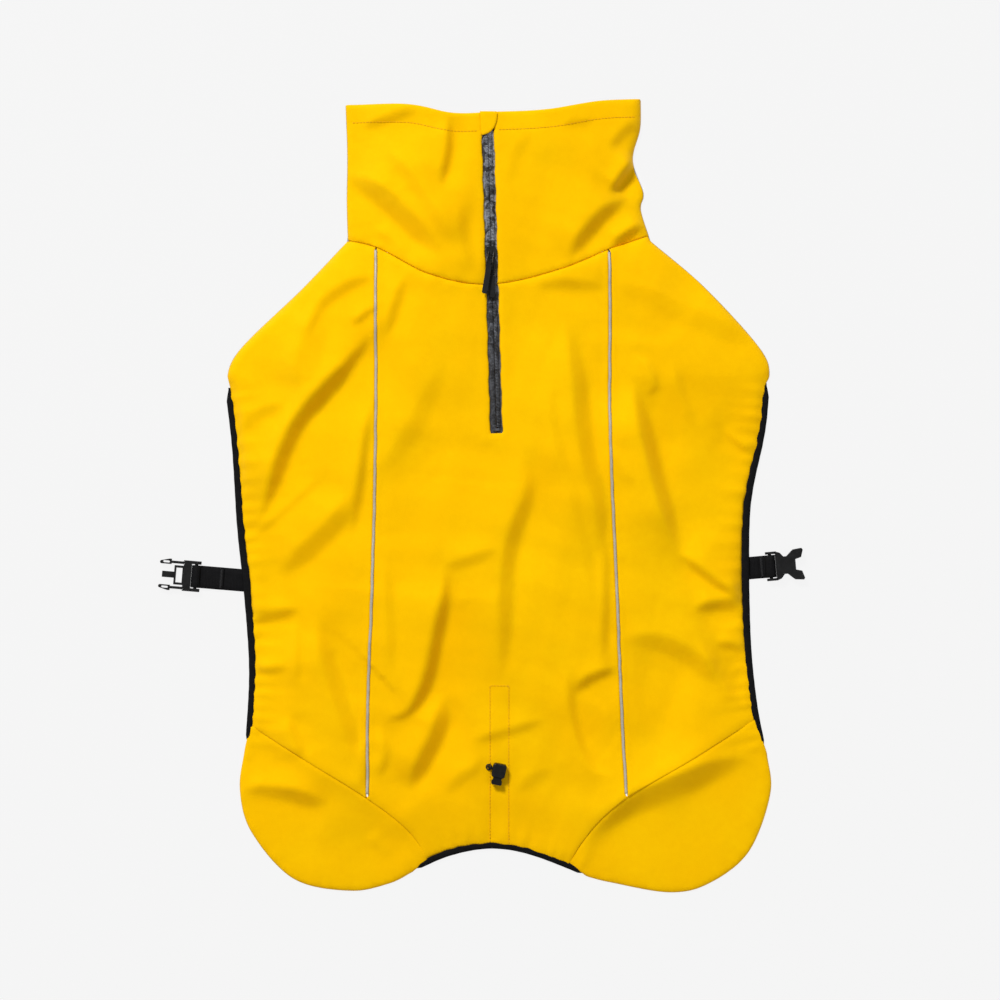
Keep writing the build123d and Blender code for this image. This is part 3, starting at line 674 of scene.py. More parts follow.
def tube(name, centre, half_width, half_height, sides):
    """A flattened tube along rows of x, y, z. The half sizes may be numbers or one value for each row."""
    centre = np.asarray(centre, float)
    t = tangents(centre)
    across = np.stack([-t[:, 1], t[:, 0], np.zeros(len(t))], axis=1)
    across /= np.maximum(np.linalg.norm(across, axis=1), 1e-9)[:, None]
    up = np.cross(t, across)
    width = np.broadcast_to(half_width, len(centre))
    height = np.broadcast_to(half_height, len(centre))
    angles = np.arange(sides) * 2 * math.pi / sides
    sideways = np.cos(angles)[None, :, None] * (width[:, None] * across)[:, None, :]
    upwards = np.sin(angles)[None, :, None] * (height[:, None] * up)[:, None, :]
    vertices = (centre[:, None, :] + sideways + upwards).reshape(-1, 3)
    return mesh_from(name, vertices, ring_quads(len(centre), sides) + ring_ends(len(centre), sides))


STITCH_PITCH = 3.0
STITCH_WIDTH = 0.5
STITCH_LIFT = 0.12
STITCH_SIDES = 6


def stitches(name, line):
    """A row of thread stitches along a line of x, y: short rounded bars that dip at each end."""
    ends = resample(line, STITCH_PITCH)
    vertices, faces = [], []
    share = np.array([0.1, 0.2, 0.5, 0.8, 0.9])
    rise = np.array([-0.35, 0.1, 0.3, 0.1, -0.35])
    size = np.array([0.35, 0.9, 1.0, 0.9, 0.35]) * STITCH_WIDTH / 2
    starts, stops = ends[:-1], ends[1:]
    spots = starts[:, None, :] + share[None, :, None] * (stops - starts)[:, None, :]
    heights = fabric_height(spots.reshape(-1, 2)).reshape(len(starts), len(share))
    for i in range(len(starts)):
        step = stops[i] - starts[i]
        step = step / max(np.linalg.norm(step), 1e-9)
        normal = np.array([-step[1], step[0], 0])
        base = len(vertices)
        faces += [tuple(base + v for v in face) for face in ring_quads(len(share), STITCH_SIDES)]
        for k in range(len(share)):
            middle = np.array([*spots[i, k], heights[i, k] + STITCH_LIFT + rise[k]])
            for a in np.arange(STITCH_SIDES) * 2 * math.pi / STITCH_SIDES:
                outwards = math.cos(a) * normal + np.array([0, 0, math.sin(a) * 0.8])
                vertices.append(middle + size[k] * outwards)
    return mesh_from(name, vertices, faces)


def thicken(obj, thickness, inner_slot=1):
    """Gives a sheet its thickness, downwards from its outer face; the inner face has its own material."""
    solid = obj.modifiers.new("thickness", "SOLIDIFY")
    solid.thickness = thickness * MM
    solid.offset = -1
    solid.use_even_offset = False
    solid.material_offset = inner_slot
    solid.material_offset_rim = 0
    bpy.context.view_layer.objects.active = obj
    with bpy.context.temp_override(object=obj, active_object=obj):
        bpy.ops.object.modifier_apply(modifier=solid.name)
    obj.data.shade_smooth()


def refine_cad(node, bevel):
    """A piece with the CAD node's shape, its edges rounded off as a moulding or casting has them."""
    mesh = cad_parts[node].data.copy()
    obj = add_object(node + "_moulded", mesh)
    cleaned = bmesh.new()
    cleaned.from_mesh(mesh)
    bmesh.ops.remove_doubles(cleaned, verts=cleaned.verts, dist=0.01 * MM)
    bmesh.ops.dissolve_limit(cleaned, angle_limit=math.radians(1), verts=cleaned.verts, edges=cleaned.edges)
    cleaned.to_mesh(mesh)
    cleaned.free()
    rounded = obj.modifiers.new("rounded", "BEVEL")
    rounded.width = bevel * MM
    rounded.segments = 3
    rounded.limit_method = "ANGLE"
    rounded.angle_limit = math.radians(32)
    rounded.harden_normals = False
    mesh.shade_smooth()
    normals = obj.modifiers.new("normals", "WEIGHTED_NORMAL")
    normals.keep_sharp = False
    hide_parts(node)
    return obj


# ------------------------------ materials

class Nodes:
    """Short hands for building one material's node tree."""

    def __init__(self, name):
        self.material = bpy.data.materials.new(name)
        self.material.use_nodes = True
        self.tree = self.material.node_tree
        self.shader = self.tree.nodes["Principled BSDF"]
        self.coords = self.tree.nodes.new("ShaderNodeTexCoord").outputs["Object"]

    def fill(self, node, inputs):
        """Links an output to each named socket, or sets its value; a colour gets its alpha here."""
        for key, value in inputs.items():
            if isinstance(value, bpy.types.NodeSocket):
                self.tree.links.new(value, node.inputs[key])
            else:
                node.inputs[key].default_value = (*value, 1) if isinstance(value, tuple) else value
        return node

    def add(self, kind, inputs, **settings):
        node = self.tree.nodes.new(kind)
        for key, value in settings.items():
            setattr(node, key, value)
        return self.fill(node, inputs)

    def noise(self, scale, detail=3.0, roughness=0.55, distortion=0.0):
        return self.add("ShaderNodeTexNoise", {
            "Scale": scale, "Detail": detail, "Roughness": roughness, "Distortion": distortion,
            "Vector": self.coords}).outputs["Fac"]

    def wave(self, scale, direction, distortion, detail_scale=1.0):
        return self.add("ShaderNodeTexWave", {
            "Scale": scale, "Distortion": distortion, "Detail": 1.0, "Detail Scale": detail_scale,
            "Vector": self.coords}, bands_direction=direction).outputs["Fac"]

    def spread(self, value, low, high, to_low=0.0, to_high=1.0):
        return self.add("ShaderNodeMapRange", {
            "From Min": low, "From Max": high, "To Min": to_low, "To Max": to_high,
            "Value": value}).outputs["Result"]

    def math(self, operation, a, b):
        return self.add("ShaderNodeMath", {0: a, 1: b}, operation=operation).outputs["Value"]

    def mix(self, share, a, b):
        return self.add("ShaderNodeMix", {"Factor": share, 6: a, 7: b}, data_type="RGBA").outputs[2]

    def bump(self, height, distance, strength, under=None):
        inputs = {"Distance": distance * MM, "Strength": strength, "Height": height}
        if under is not None:
            inputs["Normal"] = under
        return self.add("ShaderNodeBump", inputs).outputs["Normal"]

    def finish(self, color, roughness, normal, specular=0.5, sheen=0.0, metallic=0.0, coat=0.0,
               tint=(1, 1, 1)):
        self.fill(self.shader, {
            "Base Color": color, "Roughness": roughness, "Normal": normal, "Metallic": metallic,
            "Specular IOR Level": specular, "Specular Tint": tint, "Coat Weight": coat,
            "Sheen Weight": sheen, "Sheen Roughness": 0.5})
        return self.material


def wave_scale(pitch):
    """The wave texture's scale for bands with the given pitch in millimetres."""
    return math.pi / 10 / (pitch * MM)


def weave(n, pitch):
    """Height of a plain weave with the given thread pitch in millimetres."""
    warp, weft = (n.wave(wave_scale(pitch), way, 0.02) for way in "XY")
    return n.math("MULTIPLY", n.math("ADD", warp, weft), 0.5)


def shell_fabric():
    """Yellow waterproof woven face: saturated, nearly matt, with handling marks."""
    n = Nodes("shell_fabric")
    threads = weave(n, 0.45)
    cloudy = n.noise(9.0, 4.0)
    mottled = n.noise(160.0, 3.0, 0.6)
    color = n.mix(n.spread(cloudy, 0.35, 0.65), (1.0, 0.535, 0.0006), (1.0, 0.575, 0.0010))
    color = n.mix(n.spread(mottled, 0.3, 0.75, 0.0, 0.35), color, (0.93, 0.485, 0.0005))
    color = n.mix(n.spread(threads, 0.1, 0.5, 0.22, 0.0), color, (0.72, 0.36, 0.0003))
    roughness = n.spread(n.noise(60.0, 3.0), 0.3, 0.7, 0.62, 0.76)
    creased = n.bump(n.noise(75.0, 5.0, 0.62, 0.4), 0.55, 0.45)
    grain = n.bump(n.noise(420.0, 2.0), 0.12, 0.5, creased)
    return n.finish(color, roughness, n.bump(threads, 0.06, 0.6, grain), specular=0.3, tint=(1.0, 0.62, 0.01))


def shell_backing():
    """Pale knitted backing on the inside of the laminate."""
    n = Nodes("shell_backing")
    knit = weave(n, 0.7)
    color = n.mix(n.spread(n.noise(300.0), 0.3, 0.7), (0.33, 0.33, 0.34), (0.46, 0.46, 0.47))
    color = n.mix(n.spread(knit, 0.1, 0.6, 0.5, 0.0), color, (0.2, 0.2, 0.21))
    return n.finish(color, 0.85, n.bump(knit, 0.1, 0.7), specular=0.2, sheen=0.05)


def reflective():
    """Silver-grey retroreflective film on the piping: fine beads and rubbed, darker flanks."""
    n = Nodes("reflective_piping")
    beads = n.add("ShaderNodeTexVoronoi", {"Scale": 2600.0, "Vector": n.coords}).outputs["Distance"]
    rubbed = n.spread(n.noise(130.0, 4.0), 0.35, 0.7)
    color = n.mix(rubbed, (0.66, 0.63, 0.54), (0.50, 0.475, 0.41))
    color = n.mix(n.spread(beads, 0.1, 0.6, 0.0, 0.5), color, (0.22, 0.21, 0.18))
    return n.finish(color, n.spread(rubbed, 0, 1, 0.42, 0.6), n.bump(beads, 0.05, 0.5), metallic=0.15)


def black_textile(name, pitch, color, ribs, depth):
    """Black knitted or braided textile, with ribs at one pitch and fine fibre between them."""
    n = Nodes(name)
    rib = n.wave(wave_scale(pitch), ribs, 0.6, 2.0)
    fibre = n.noise(1500.0, 3.0, 0.7)
    faded = tuple(min(1.0, c * 2.3 + 0.004) for c in color)
    tone = n.mix(n.spread(fibre, 0.3, 0.75), color, faded)
    tone = n.mix(n.spread(rib, 0.0, 0.5, 0.55, 0.0), tone, tuple(c * 0.35 for c in color))
    rough = n.spread(n.noise(200.0), 0.3, 0.7, 0.72, 0.88)
    return n.finish(tone, rough, n.bump(rib, depth, 0.8, n.bump(fibre, 0.06, 0.5)), specular=0.10)


def coated_chain():
    """Near-black coated zip with blotchy grey-blue that is partly the film's own grey and partly painted
    highlight, fading towards its foot.
    """
    n = Nodes("coated_chain")
    # painted highlight: these blotches are where the glossy film's highlights are painted in as grey-blue,
    # over its own grey
    patches = n.spread(n.noise(120.0, 4.0, 0.65, 1.2), 0.44, 0.58)
    split = n.add("ShaderNodeSeparateXYZ", {"Vector": n.coords})
    # the painted grey-blue fades out towards the zip's foot
    foot = n.spread(split.outputs["Y"], 0.09, 0.26, 0.18, 1.0)
    film = n.math("MULTIPLY", patches, foot)
    # near-black where film is low, grey-blue painted highlight where it is high
    color = n.mix(film, (0.010, 0.010, 0.012), (0.34, 0.36, 0.41))
    color = n.mix(n.spread(n.noise(700.0, 2.0), 0.35, 0.7, 0.0, 0.5), color, (0.05, 0.05, 0.055))
    roughness = n.spread(film, 0, 1, 0.55, 0.34)
    return n.finish(color, roughness, n.bump(n.noise(900.0, 3.0), 0.08, 0.6), specular=0.55, coat=0.08)


def moulded(name, color, roughness, grain, specular):
    """Moulded plastic or enamel: fine spark-eroded grain, faint flow marks and paler rubbed patches."""
    n = Nodes(name)
    worn = n.spread(n.noise(240.0, 4.0), 0.45, 0.8)
    tone = n.mix(worn, color, tuple(min(1.0, c * 2.0 + 0.003) for c in color))
    rough = n.spread(n.noise(180.0, 3.0), 0.3, 0.7, roughness - 0.06, roughness + 0.1)
    return n.finish(tone, rough, n.bump(n.noise(2200.0, 2.0), grain, 0.5), specular=specular)


def thread_material(name, color):
    """Twisted sewing thread, darker between its strands."""
    n = Nodes(name)
    twist = n.wave(628.0, "DIAGONAL", 0.4)
    tone = n.mix(n.spread(twist, 0.1, 0.7), tuple(c * 0.55 for c in color), color)
    return n.finish(tone, 0.6, n.bump(twist, 0.08, 0.7), specular=0.3)


def spring_steel():
    n = Nodes("spring_steel")
    drawn = n.noise(900.0, 2.0)
    color = n.mix(n.spread(drawn, 0.3, 0.7), (0.5, 0.5, 0.52), (0.66, 0.66, 0.68))
    return n.finish(color, n.spread(drawn, 0, 1, 0.25, 0.4), n.bump(drawn, 0.02, 0.4), metallic=1.0)


LOOK = {
    "shell": shell_fabric(),
    "backing": shell_backing(),
    "piping": reflective(),
    "binding": black_textile("elastic_binding", 1.1, (0.003, 0.003, 0.0034), "Y", 0.2),
    "webbing": black_textile("webbing", 1.3, (0.0035, 0.0035, 0.004), "X", 0.22),
    "cord": black_textile("elastic_cord", 0.8, (0.008, 0.008, 0.009), "DIAGONAL", 0.2),
    "chain": coated_chain(),
    "enamel": moulded("slider_enamel", (0.003, 0.003, 0.0034), 0.3, 0.02, 0.5),
    "grip": moulded("grip_rubber", (0.004, 0.004, 0.0045), 0.5, 0.08, 0.25),
    "plastic": moulded("buckle_plastic", (0.003, 0.003, 0.0034), 0.42, 0.06, 0.3),
    "thread": thread_material("yellow_thread", (0.96, 0.50, 0.002)),
    "black_thread": thread_material("black_thread", (0.02, 0.02, 0.022)),
    "spring": spring_steel(),
}


def wear(obj, *looks):
    """Gives a piece its materials."""
    obj.data.materials.clear()
    for look in looks:
        obj.data.materials.append(LOOK[look])


def dress(obj, body, slot, *looks):
    """Gives a piece its materials and the body it moves with; the slot is not used."""
    wear(obj, *looks)
    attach(obj, body)
    return obj


# ------------------------------ fabric panels

FABRIC_THICKNESS = 0.6
SEAM_CLEARANCE = 0.08
GARMENT = "garment"
# how far the cloth laps over the rear corners, the piping and the bindings
LEG_SEAM_LAP = 1.6
PIPING_LAP = 0.7
LEFT_LAP, RIGHT_LAP, HEM_LAP = 1.9, 1.5, 1.9
# the cloth's edge lies no further in than this from the garment's outline, so no gap opens by a binding
BINDING_COVER = 7.0
HEM_TURN = 0.9
ZIP_WANDER = 0.35
# how far up the zip the collar's seam and top edge meet its slot
ZIP_AT_SEAM = 131.0
ZIP_AT_TOP = 283


def turned(x, y, turn, place):
    """The x and the y of points that are turned and then moved to place."""
    c, s = math.cos(turn), math.sin(turn)
    return place[0] + x * c - y * s, place[1] + x * s + y * c


def from_zip(x, y, z):
    """Points of the zip's frame, in the garment's frame."""
    x, y, z = np.broadcast_arrays(np.asarray(x, float), y, z)
    return np.stack([*turned(x, y, ZIP_TURN, ZIP_FOOT), ZIP_FACE_Z + z], axis=-1)


def zip_side(side, start, end):
    """The slot's edge in the garment's frame, from start to end along the zip."""
    y = np.linspace(start, end, max(2, int(abs(end - start) / 3)))
    wander = ZIP_WANDER * np.sin(y * 0.21 + side) + 0.5 * ZIP_WANDER * np.sin(y * 0.57)
    return from_zip(side * (ZIP_SLOT_HALF + 0.3 + wander), y, 0)[:, :2]


def scalloped(edge, inset):
    """The cloth's visible edge beside a binding: it bulges over the elastic between gathers."""
    run = run_lengths(edge.path)
    away = inset + 0.9 * edge.gathers(run) + 1.0 * np.sin(run * 0.024 + 1.0)
    return offset_path(edge.path, np.maximum(away, -BINDING_COVER))


def panel_loops():
    """Closed outlines of the seven upper panels, in millimetres."""
    gap, lap, pipe = SEAM_CLEARANCE, LEG_SEAM_LAP, PIPING_SLOT / 2 - PIPING_LAP
    # the edges run clockwise round the garment, so the cloth is on their right
    left_cloth = scalloped(EDGES["left_side"], -BINDING_WIDTH + LEFT_LAP)
    right_cloth = scalloped(EDGES["right_side"], -BINDING_WIDTH + RIGHT_LAP)
    hem_cloth = scalloped(EDGES["hem"], -HEM_BINDING_WIDTH + HEM_LAP)
    neck_right = (134, 228)
    zip_left, zip_right = (crossing(COLLAR_SEAM, zip_side(side, 0, 290)) for side in (-1, 1))
    back_left, back_right = crossing(COLLAR_SEAM, LEFT_PIPING), crossing(COLLAR_SEAM, RIGHT_PIPING)
    low_left, low_right = crossing(LEFT_LEG_SEAM, LEFT_PIPING), crossing(RIGHT_LEG_SEAM, RIGHT_PIPING)
    hem_left, hem_right = crossing(LEFT_LEG_SEAM, hem_cloth), crossing(RIGHT_LEG_SEAM, hem_cloth)
    side_left, side_right = crossing(LEFT_LEG_SEAM, left_cloth), crossing(RIGHT_LEG_SEAM, right_cloth)
    return {
        "collar_left": join_lines(
            stretch(COLLAR_SEAM, NECK_LEFT, zip_left, gap), zip_side(-1, ZIP_AT_SEAM + 2, ZIP_AT_TOP),
            stretch(COLLAR_TOP_EDGE, zip_side(-1, ZIP_AT_TOP - 1, ZIP_AT_TOP)[-1], TOP_LEFT),
            stretch(LEFT_COLLAR_EDGE, TOP_LEFT, NECK_LEFT)),
        "collar_right": join_lines(
            stretch(COLLAR_SEAM, zip_right, neck_right, gap),
            stretch(RIGHT_COLLAR_EDGE, neck_right, TOP_RIGHT),
            stretch(COLLAR_TOP_EDGE, TOP_RIGHT, zip_side(1, ZIP_AT_TOP, ZIP_AT_TOP + 1)[-1]),
            zip_side(1, ZIP_AT_TOP, ZIP_AT_SEAM + 3)),
        "back_panel": join_lines(
            stretch(LEFT_PIPING, back_left, low_left, pipe),
            stretch(LEFT_LEG_SEAM, low_left, hem_left, -lap),
            stretch(hem_cloth, hem_left, hem_right),
            stretch(RIGHT_LEG_SEAM, hem_right, low_right, lap),
            stretch(RIGHT_PIPING, low_right, back_right, -pipe),
            stretch(COLLAR_SEAM, back_right, zip_right, -gap),
            zip_side(1, ZIP_AT_SEAM, 0), zip_side(-1, 0, ZIP_AT_SEAM),
            stretch(COLLAR_SEAM, zip_left, back_left, -gap)),
        "left_side_panel": join_lines(
            stretch(LEFT_SHOULDER, (-238, 106), NECK_LEFT),
            stretch(COLLAR_SEAM, NECK_LEFT, back_left, -gap),
            stretch(LEFT_PIPING, back_left, low_left, -pipe),
            stretch(LEFT_LEG_SEAM, low_left, side_left, -lap),
            stretch(left_cloth, side_left, (-238, 96))),
        "right_side_panel": join_lines(
            stretch(RIGHT_PIPING, low_right, back_right, pipe),
            stretch(COLLAR_SEAM, back_right, neck_right, -gap),
            stretch(RIGHT_SHOULDER, neck_right, (238, 106)),
            stretch(right_cloth, (236, 96), side_right),
            stretch(RIGHT_LEG_SEAM, side_right, low_right, lap)),
        "left_leg_flap": join_lines(
            stretch(LEFT_LEG_SEAM, side_left, hem_left, -gap),
            stretch(LEFT_LEG_EDGE, (-74, -330), (-224, -222))),
        "right_leg_flap": join_lines(
            stretch(RIGHT_LEG_SEAM, hem_right, side_right, gap),
            stretch(RIGHT_LEG_EDGE, (237, -226), (79, -335))),
    }


def collar_hem_line():
    return offset_path(COLLAR_TOP_EDGE, -COLLAR_HEM)


def tunnel_lines():
    """The two long rows and the upper row of stitches round the drawcord's tunnel."""
    left = np.array([(-7.5, -305), (-7.4, -236), (-7.5, -166)], float)
    right = np.array([(9.2, -166), (9.0, -236), (9.1, -306)], float)
    top = np.array([left[-1], right[0]])
    return resample(left, 3.0), resample(top, 2.9), resample(right, 3.0)


def add_cloth(name, vertices, height, faces, outer, inner):
    """One panel's sheet with its thickness, in place of the CAD model's panel."""
    sheet = mesh_from(name + "_cloth", np.column_stack([vertices, height]), faces)
    thicken(sheet, FABRIC_THICKNESS)
    dress(sheet, GARMENT, "shell_fabric", outer, inner)
    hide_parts(name)
    return sheet


def add_panels():
    left_row, _, right_row = tunnel_lines()
    hem = collar_hem_line()
    guides = {"back_panel": (left_row, right_row), "collar_left": (hem,), "collar_right": (hem,)}
    for name, loop in panel_loops().items():
        vertices, faces = flat_panel(loop, guides.get(name, ()))
        height = fabric_height(vertices, name)
        height -= HEM_TURN * bell(away_from(vertices, closed(loop)), 0.9)
        for line in guides.get(name, ()):
            height -= 0.15 * bell(away_from(vertices, line), 0.9)
        sheet = add_cloth(name, vertices, np.maximum(height, LOWEST), faces, "shell", "backing")


def add_underside():
    """The chest panel and the throat side of the collar, which lie on the table."""
    rear = offset_path(CHEST_REAR_EDGE, CHEST_BINDING_WIDTH / 2 - 1.0)
    loops = {
        "chest_panel": join_lines(
            stretch(rear, (-234, 104), (234, 104)), stretch(RIGHT_SHOULDER, (238, 106), NECK_RIGHT),
            stretch(THROAT_SEAM, (136, 224), (-136, 224), -SEAM_CLEARANCE),
            stretch(LEFT_SHOULDER, NECK_LEFT, (-240, 106))),
        "collar_throat": join_lines(
            stretch(THROAT_SEAM, (-134, 224), NECK_RIGHT, SEAM_CLEARANCE),
            stretch(RIGHT_COLLAR_EDGE, NECK_RIGHT, TOP_RIGHT), stretch(COLLAR_TOP_EDGE, TOP_RIGHT, TOP_LEFT),
            stretch(LEFT_COLLAR_EDGE, TOP_LEFT, (-134, 230))),
    }
    for name, loop in loops.items():
        vertices, faces = flat_panel(loop, (), 4.5)
        fold = np.min([away_from(vertices, path) for path in SHOULDER_PATHS], axis=0)
        ripple = 0.18 * np.sin(vertices[:, 0] * 0.05) * np.sin(vertices[:, 1] * 0.06)
        sheet = add_cloth(name, vertices, 1.05 + ripple + 1.5 * bell(fold, 3.0), faces, "backing", "shell")


# ------------------------------ bindings, elastics and piping

LEFT_FOLD, LEFT_TURN = (-232.5, -73.0), math.radians(175.2)
RIGHT_FOLD, RIGHT_TURN = (224.8, -62.5), math.radians(5.0)
# a side binding rises over its strap: how far along it, and the height of its middle and its half height
STRAP_PASS = (12.5, 3.25, 1.35)


def gathered_tube(name, edge, inset, half_width, half_height, middle, pinch, taper, fold=None, trim=0):
    """A folded binding or elastic: a flattened tube that is pinched between its gathers."""
    path = resample(offset_path(edge.path, -inset), 1.5)[trim:-trim or None]
    run = run_lengths(path)
    share = run / run[-1]
    bumps = edge.gathers(share * edge.runs[-1])
    height = middle + 0.15 * bumps
    thickness = half_height * (1 + 0.08 * bumps)
    if fold:
        reach, pass_middle, pass_half = STRAP_PASS
        over = bell(path[:, 1] - fold[1], reach, 6)
        height = height + (pass_middle - height) * over
        thickness = thickness + (pass_half - thickness) * over
    width = half_width + pinch * bumps
    ends = np.clip(np.minimum(share, 1 - share) * run[-1] / taper, 0.15, 1) ** 0.7
    obj = tube(name, np.column_stack([path, height]), width * ends, thickness * ends, sides=12)
    return dress(obj, GARMENT, "elastic_binding", "binding")


def add_bindings():
    for side, fold in (("left", LEFT_FOLD), ("right", RIGHT_FOLD)):
        obj = gathered_tube(side + "_side_stretch_binding", EDGES[side + "_side"], BINDING_WIDTH / 2 + 0.3,
                            half_width=3.85, half_height=1.8, middle=2.3, pinch=0.12, taper=12, fold=fold)
        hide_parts(side + "_side_binding")
        obj = gathered_tube(side + "_leg_gather", EDGES[side + "_leg"], ELASTIC_INSET,
                            half_width=2.7, half_height=0.55, middle=0.75, pinch=0.3, taper=6, trim=12)
        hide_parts(side + "_leg_elastic")
    obj = gathered_tube("hem_stretch_binding", EDGES["hem"], HEM_BINDING_WIDTH / 2 + 0.2,
                        half_width=3.5, half_height=1.7, middle=2.2, pinch=0.12, taper=9)
    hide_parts("hem_binding")
    path = resample(CHEST_REAR_EDGE[np.abs(CHEST_REAR_EDGE[:, 0]) < 230.5], 2.0)
    ripple = random_along(path, 8.0, 21)
    centre = np.column_stack([path, 1.25 + 0.08 * ripple])
    obj = tube("chest_stretch_binding", centre, 3.7 + 0.2 * ripple, 1.0, sides=12)
    dress(obj, GARMENT, "elastic_binding", "binding")
    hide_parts("chest_binding")


def add_piping():
    for side, path in PIPING_PATHS.items():
        start, end = crossing(path, SEAM_PATHS["collar"]), crossing(path, SEAM_PATHS[side + "_leg"])
        line = resample(stretch(path, start, end), 1.5)[1:-1]
        kernel = np.hanning(9) / np.hanning(9).sum()
        height = np.convolve(np.pad(fabric_height(line), 4, mode="edge"), kernel, mode="valid")
        wobble = random_along(line, 14.0, 31 + len(side))
        centre = np.column_stack([offset_path(line, 0.35 * wobble), height - 0.2 + 0.1 * wobble])
        obj = tube(side + "_reflective_piping", centre, 1.25 + 0.05 * wobble, 1.1, sides=12)
        dress(obj, GARMENT, "reflective_piping", "piping")
        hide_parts(side + "_piping")


# ------------------------------ zip

TAPE_START, TAPE_END = -6.0, 279.0
TAPE_ROWS = (0.55, 2.0, 4.0, 6.0, 8.5, 10.9)
TAPE_THICKNESS = 0.5
CHAIN_START, CHAIN_END = 4.6, 261.8
COIL_PITCH = 1.3
COIL_BAR = (3.55, 1.16, 1.5)
COIL_LEAN = 0.10
COIL_MIDDLE = 0.98


def rounded_bar(length, width, height, pieces=6):
    """Vertices and faces of a bar with rounded ends, along x from 0 to length."""
    share = np.array([0.0, 0.08, 0.3, 0.7, 0.92, 1.0])
    size = np.array([0.45, 0.85, 1.0, 1.0, 0.8, 0.4])
    angles = np.arange(pieces) * 2 * math.pi / pieces
    x = np.repeat(share * length, pieces)
    y = np.outer(size, np.cos(angles) * width / 2).ravel()
    z = np.outer(size, np.sin(angles) * height / 2).ravel()
    faces = [(a, d, c, b) for a, b, c, d in ring_quads(len(share), pieces)]
    faces += [end[::-1] for end in ring_ends(len(share), pieces)]
    return np.column_stack([x, y, z]), faces


def add_zip():
    for side, word in ((-1, "left"), (1, "right")):
        y = np.linspace(TAPE_START, TAPE_END, 190)
        grid = np.stack([from_zip(side * x, y, -0.05 + 0.05 * np.sin(y * 0.7 + x)) for x in TAPE_ROWS])
        shape, bar_faces = rounded_bar(*COIL_BAR)
        tape_faces = grid_quads(len(TAPE_ROWS), len(y))
        if side > 0:
            tape_faces = [f[::-1] for f in tape_faces]
        else:
            bar_faces = [f[::-1] for f in bar_faces]
        tape = mesh_from("coated_tape_" + word, grid.reshape(-1, 3), tape_faces)
        thicken(tape, TAPE_THICKNESS, 0)
        dress(tape, GARMENT, "zip_tape", "chain")
        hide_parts("zip_tape_" + word)
        vertices, faces = [], []
        bar_x, bar_y, bar_z = shape.T
        first = CHAIN_START + 0.6 + (COIL_PITCH / 2 if side > 0 else 0)
        for k, place in enumerate(np.arange(first, CHAIN_END - 0.4, COIL_PITCH)):
            faces += [tuple(len(vertices) * len(shape) + i for i in f) for f in bar_faces]
            vertices.append(from_zip(side * (0.05 + bar_x), place + bar_y + COIL_LEAN * bar_x,
                                     COIL_MIDDLE + bar_z + 0.05 * math.sin(k * 1.7)))
        coil = mesh_from("coil_" + word, np.vstack(vertices), faces)
        dress(coil, GARMENT, "zip_coil", "chain")
        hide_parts("zip_coil_" + word)
    for node in ("zip_bottom_stop", "zip_top_stops"):
        dress(refine_cad(node, 0.35), GARMENT, "zip_coil", "chain")
    for slider in ("upper", "lower"):
        for part, bevel, slot, look in (("_slider", 0.28, "slider_metal", "enamel"),
                                        ("_pull_link", 0.1, "slider_metal", "enamel"),
                                        ("_pull_grip", 0.45, "grip_rubber", "grip")):
            dress(refine_cad(slider + part, bevel), slider + part, slot, look)


GARAGE_LEVEL = 22.45


def add_garage():
    """The yellow tab folded over the top of the chain."""
    curve = smooth_path([(-13.6, 317.5), (-8.5, 319.4), (-3.8, 324.0), (-1.3, 331.0), (-0.7, 338.4)], 1.0)
    loop = join_lines(np.array([(-16.4, 338.6), (-16.0, 328.0), (-15.4, 317.6)]), curve)
    vertices, faces = flat_panel(loop, (), 1.6)
    from_edge = away_from(vertices, closed(loop))
    height = (GARAGE_LEVEL - 0.75 * bell(vertices[:, 0] + 16, 3.0)
              - 0.3 * bell(from_edge, 0.8) + 0.2 * bell(from_edge - 1.8, 0.9))
    tab = mesh_from("garage_tab", np.column_stack([vertices, height]), faces)
    thicken(tab, FABRIC_THICKNESS, 0)
    dress(tab, GARMENT, "shell_fabric", "shell")
    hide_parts("zip_garage")


# ------------------------------ drawcord

TUNNEL_X, TUNNEL_HALF = 0.85, 8.3
TUNNEL_REAR, TUNNEL_FRONT = -285, -166
TUNNEL_DROP = 4.25
CORD_X = -3.1


def add_drawcord():
    y = np.linspace(TUNNEL_REAR, TUNNEL_FRONT, 45)
    x = np.linspace(TUNNEL_X - TUNNEL_HALF, TUNNEL_X + TUNNEL_HALF, 9)
    flat = np.column_stack([axis.ravel() for axis in np.meshgrid(x, y)])
    height = crown(flat) - TUNNEL_DROP - 0.5 * bell(flat[:, 0] - CORD_X, 2.2)
    tunnel = mesh_from("tunnel_facing", np.column_stack([flat, height]), grid_quads(len(y), len(x)))
    thicken(tunnel, 0.45, 0)
    dress(tunnel, GARMENT, "lining_fabric", "backing")
    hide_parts("drawcord_tunnel")
    dress(refine_cad("drawcord", 0.15), GARMENT, "elastic_cord", "cord")
    dress(refine_cad("cord_loop", 0.15), "cord_lock", "elastic_cord", "cord")
    dress(refine_cad("cord_eyelet", 0.22), GARMENT, "eyelet_metal", "enamel")
    dress(refine_cad("cord_lock_body", 0.35), "cord_lock", "buckle_plastic", "plastic")
    # the spring shortens between the lock and its button, so it rides neither of them
    spring = refine_cad("cord_lock_spring", 0.15)
    wear(spring, "spring")
    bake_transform(spring)
    dress(refine_cad("cord_lock_button", 0.3), "cord_lock_button", "buckle_plastic", "plastic")


# ------------------------------ belly straps and buckle

LEFT_BAR_X, RIGHT_BAR_X = 34.8, 15.2
LOOP_RADIUS = 3.3
WEBBING = 1.4
WEBBING_HALF = 9.9
SEWN_END = 26.5
TACK_HALF, TACK_ROWS = 8.2, 26


def from_strap(fold, turn, points):
    """Points of a strap's frame, whose x runs out from the garment's edge, in the garment's frame."""
    x, y, z = np.asarray(points, float).T
    return np.column_stack([*turned(x, y, turn, fold), z])


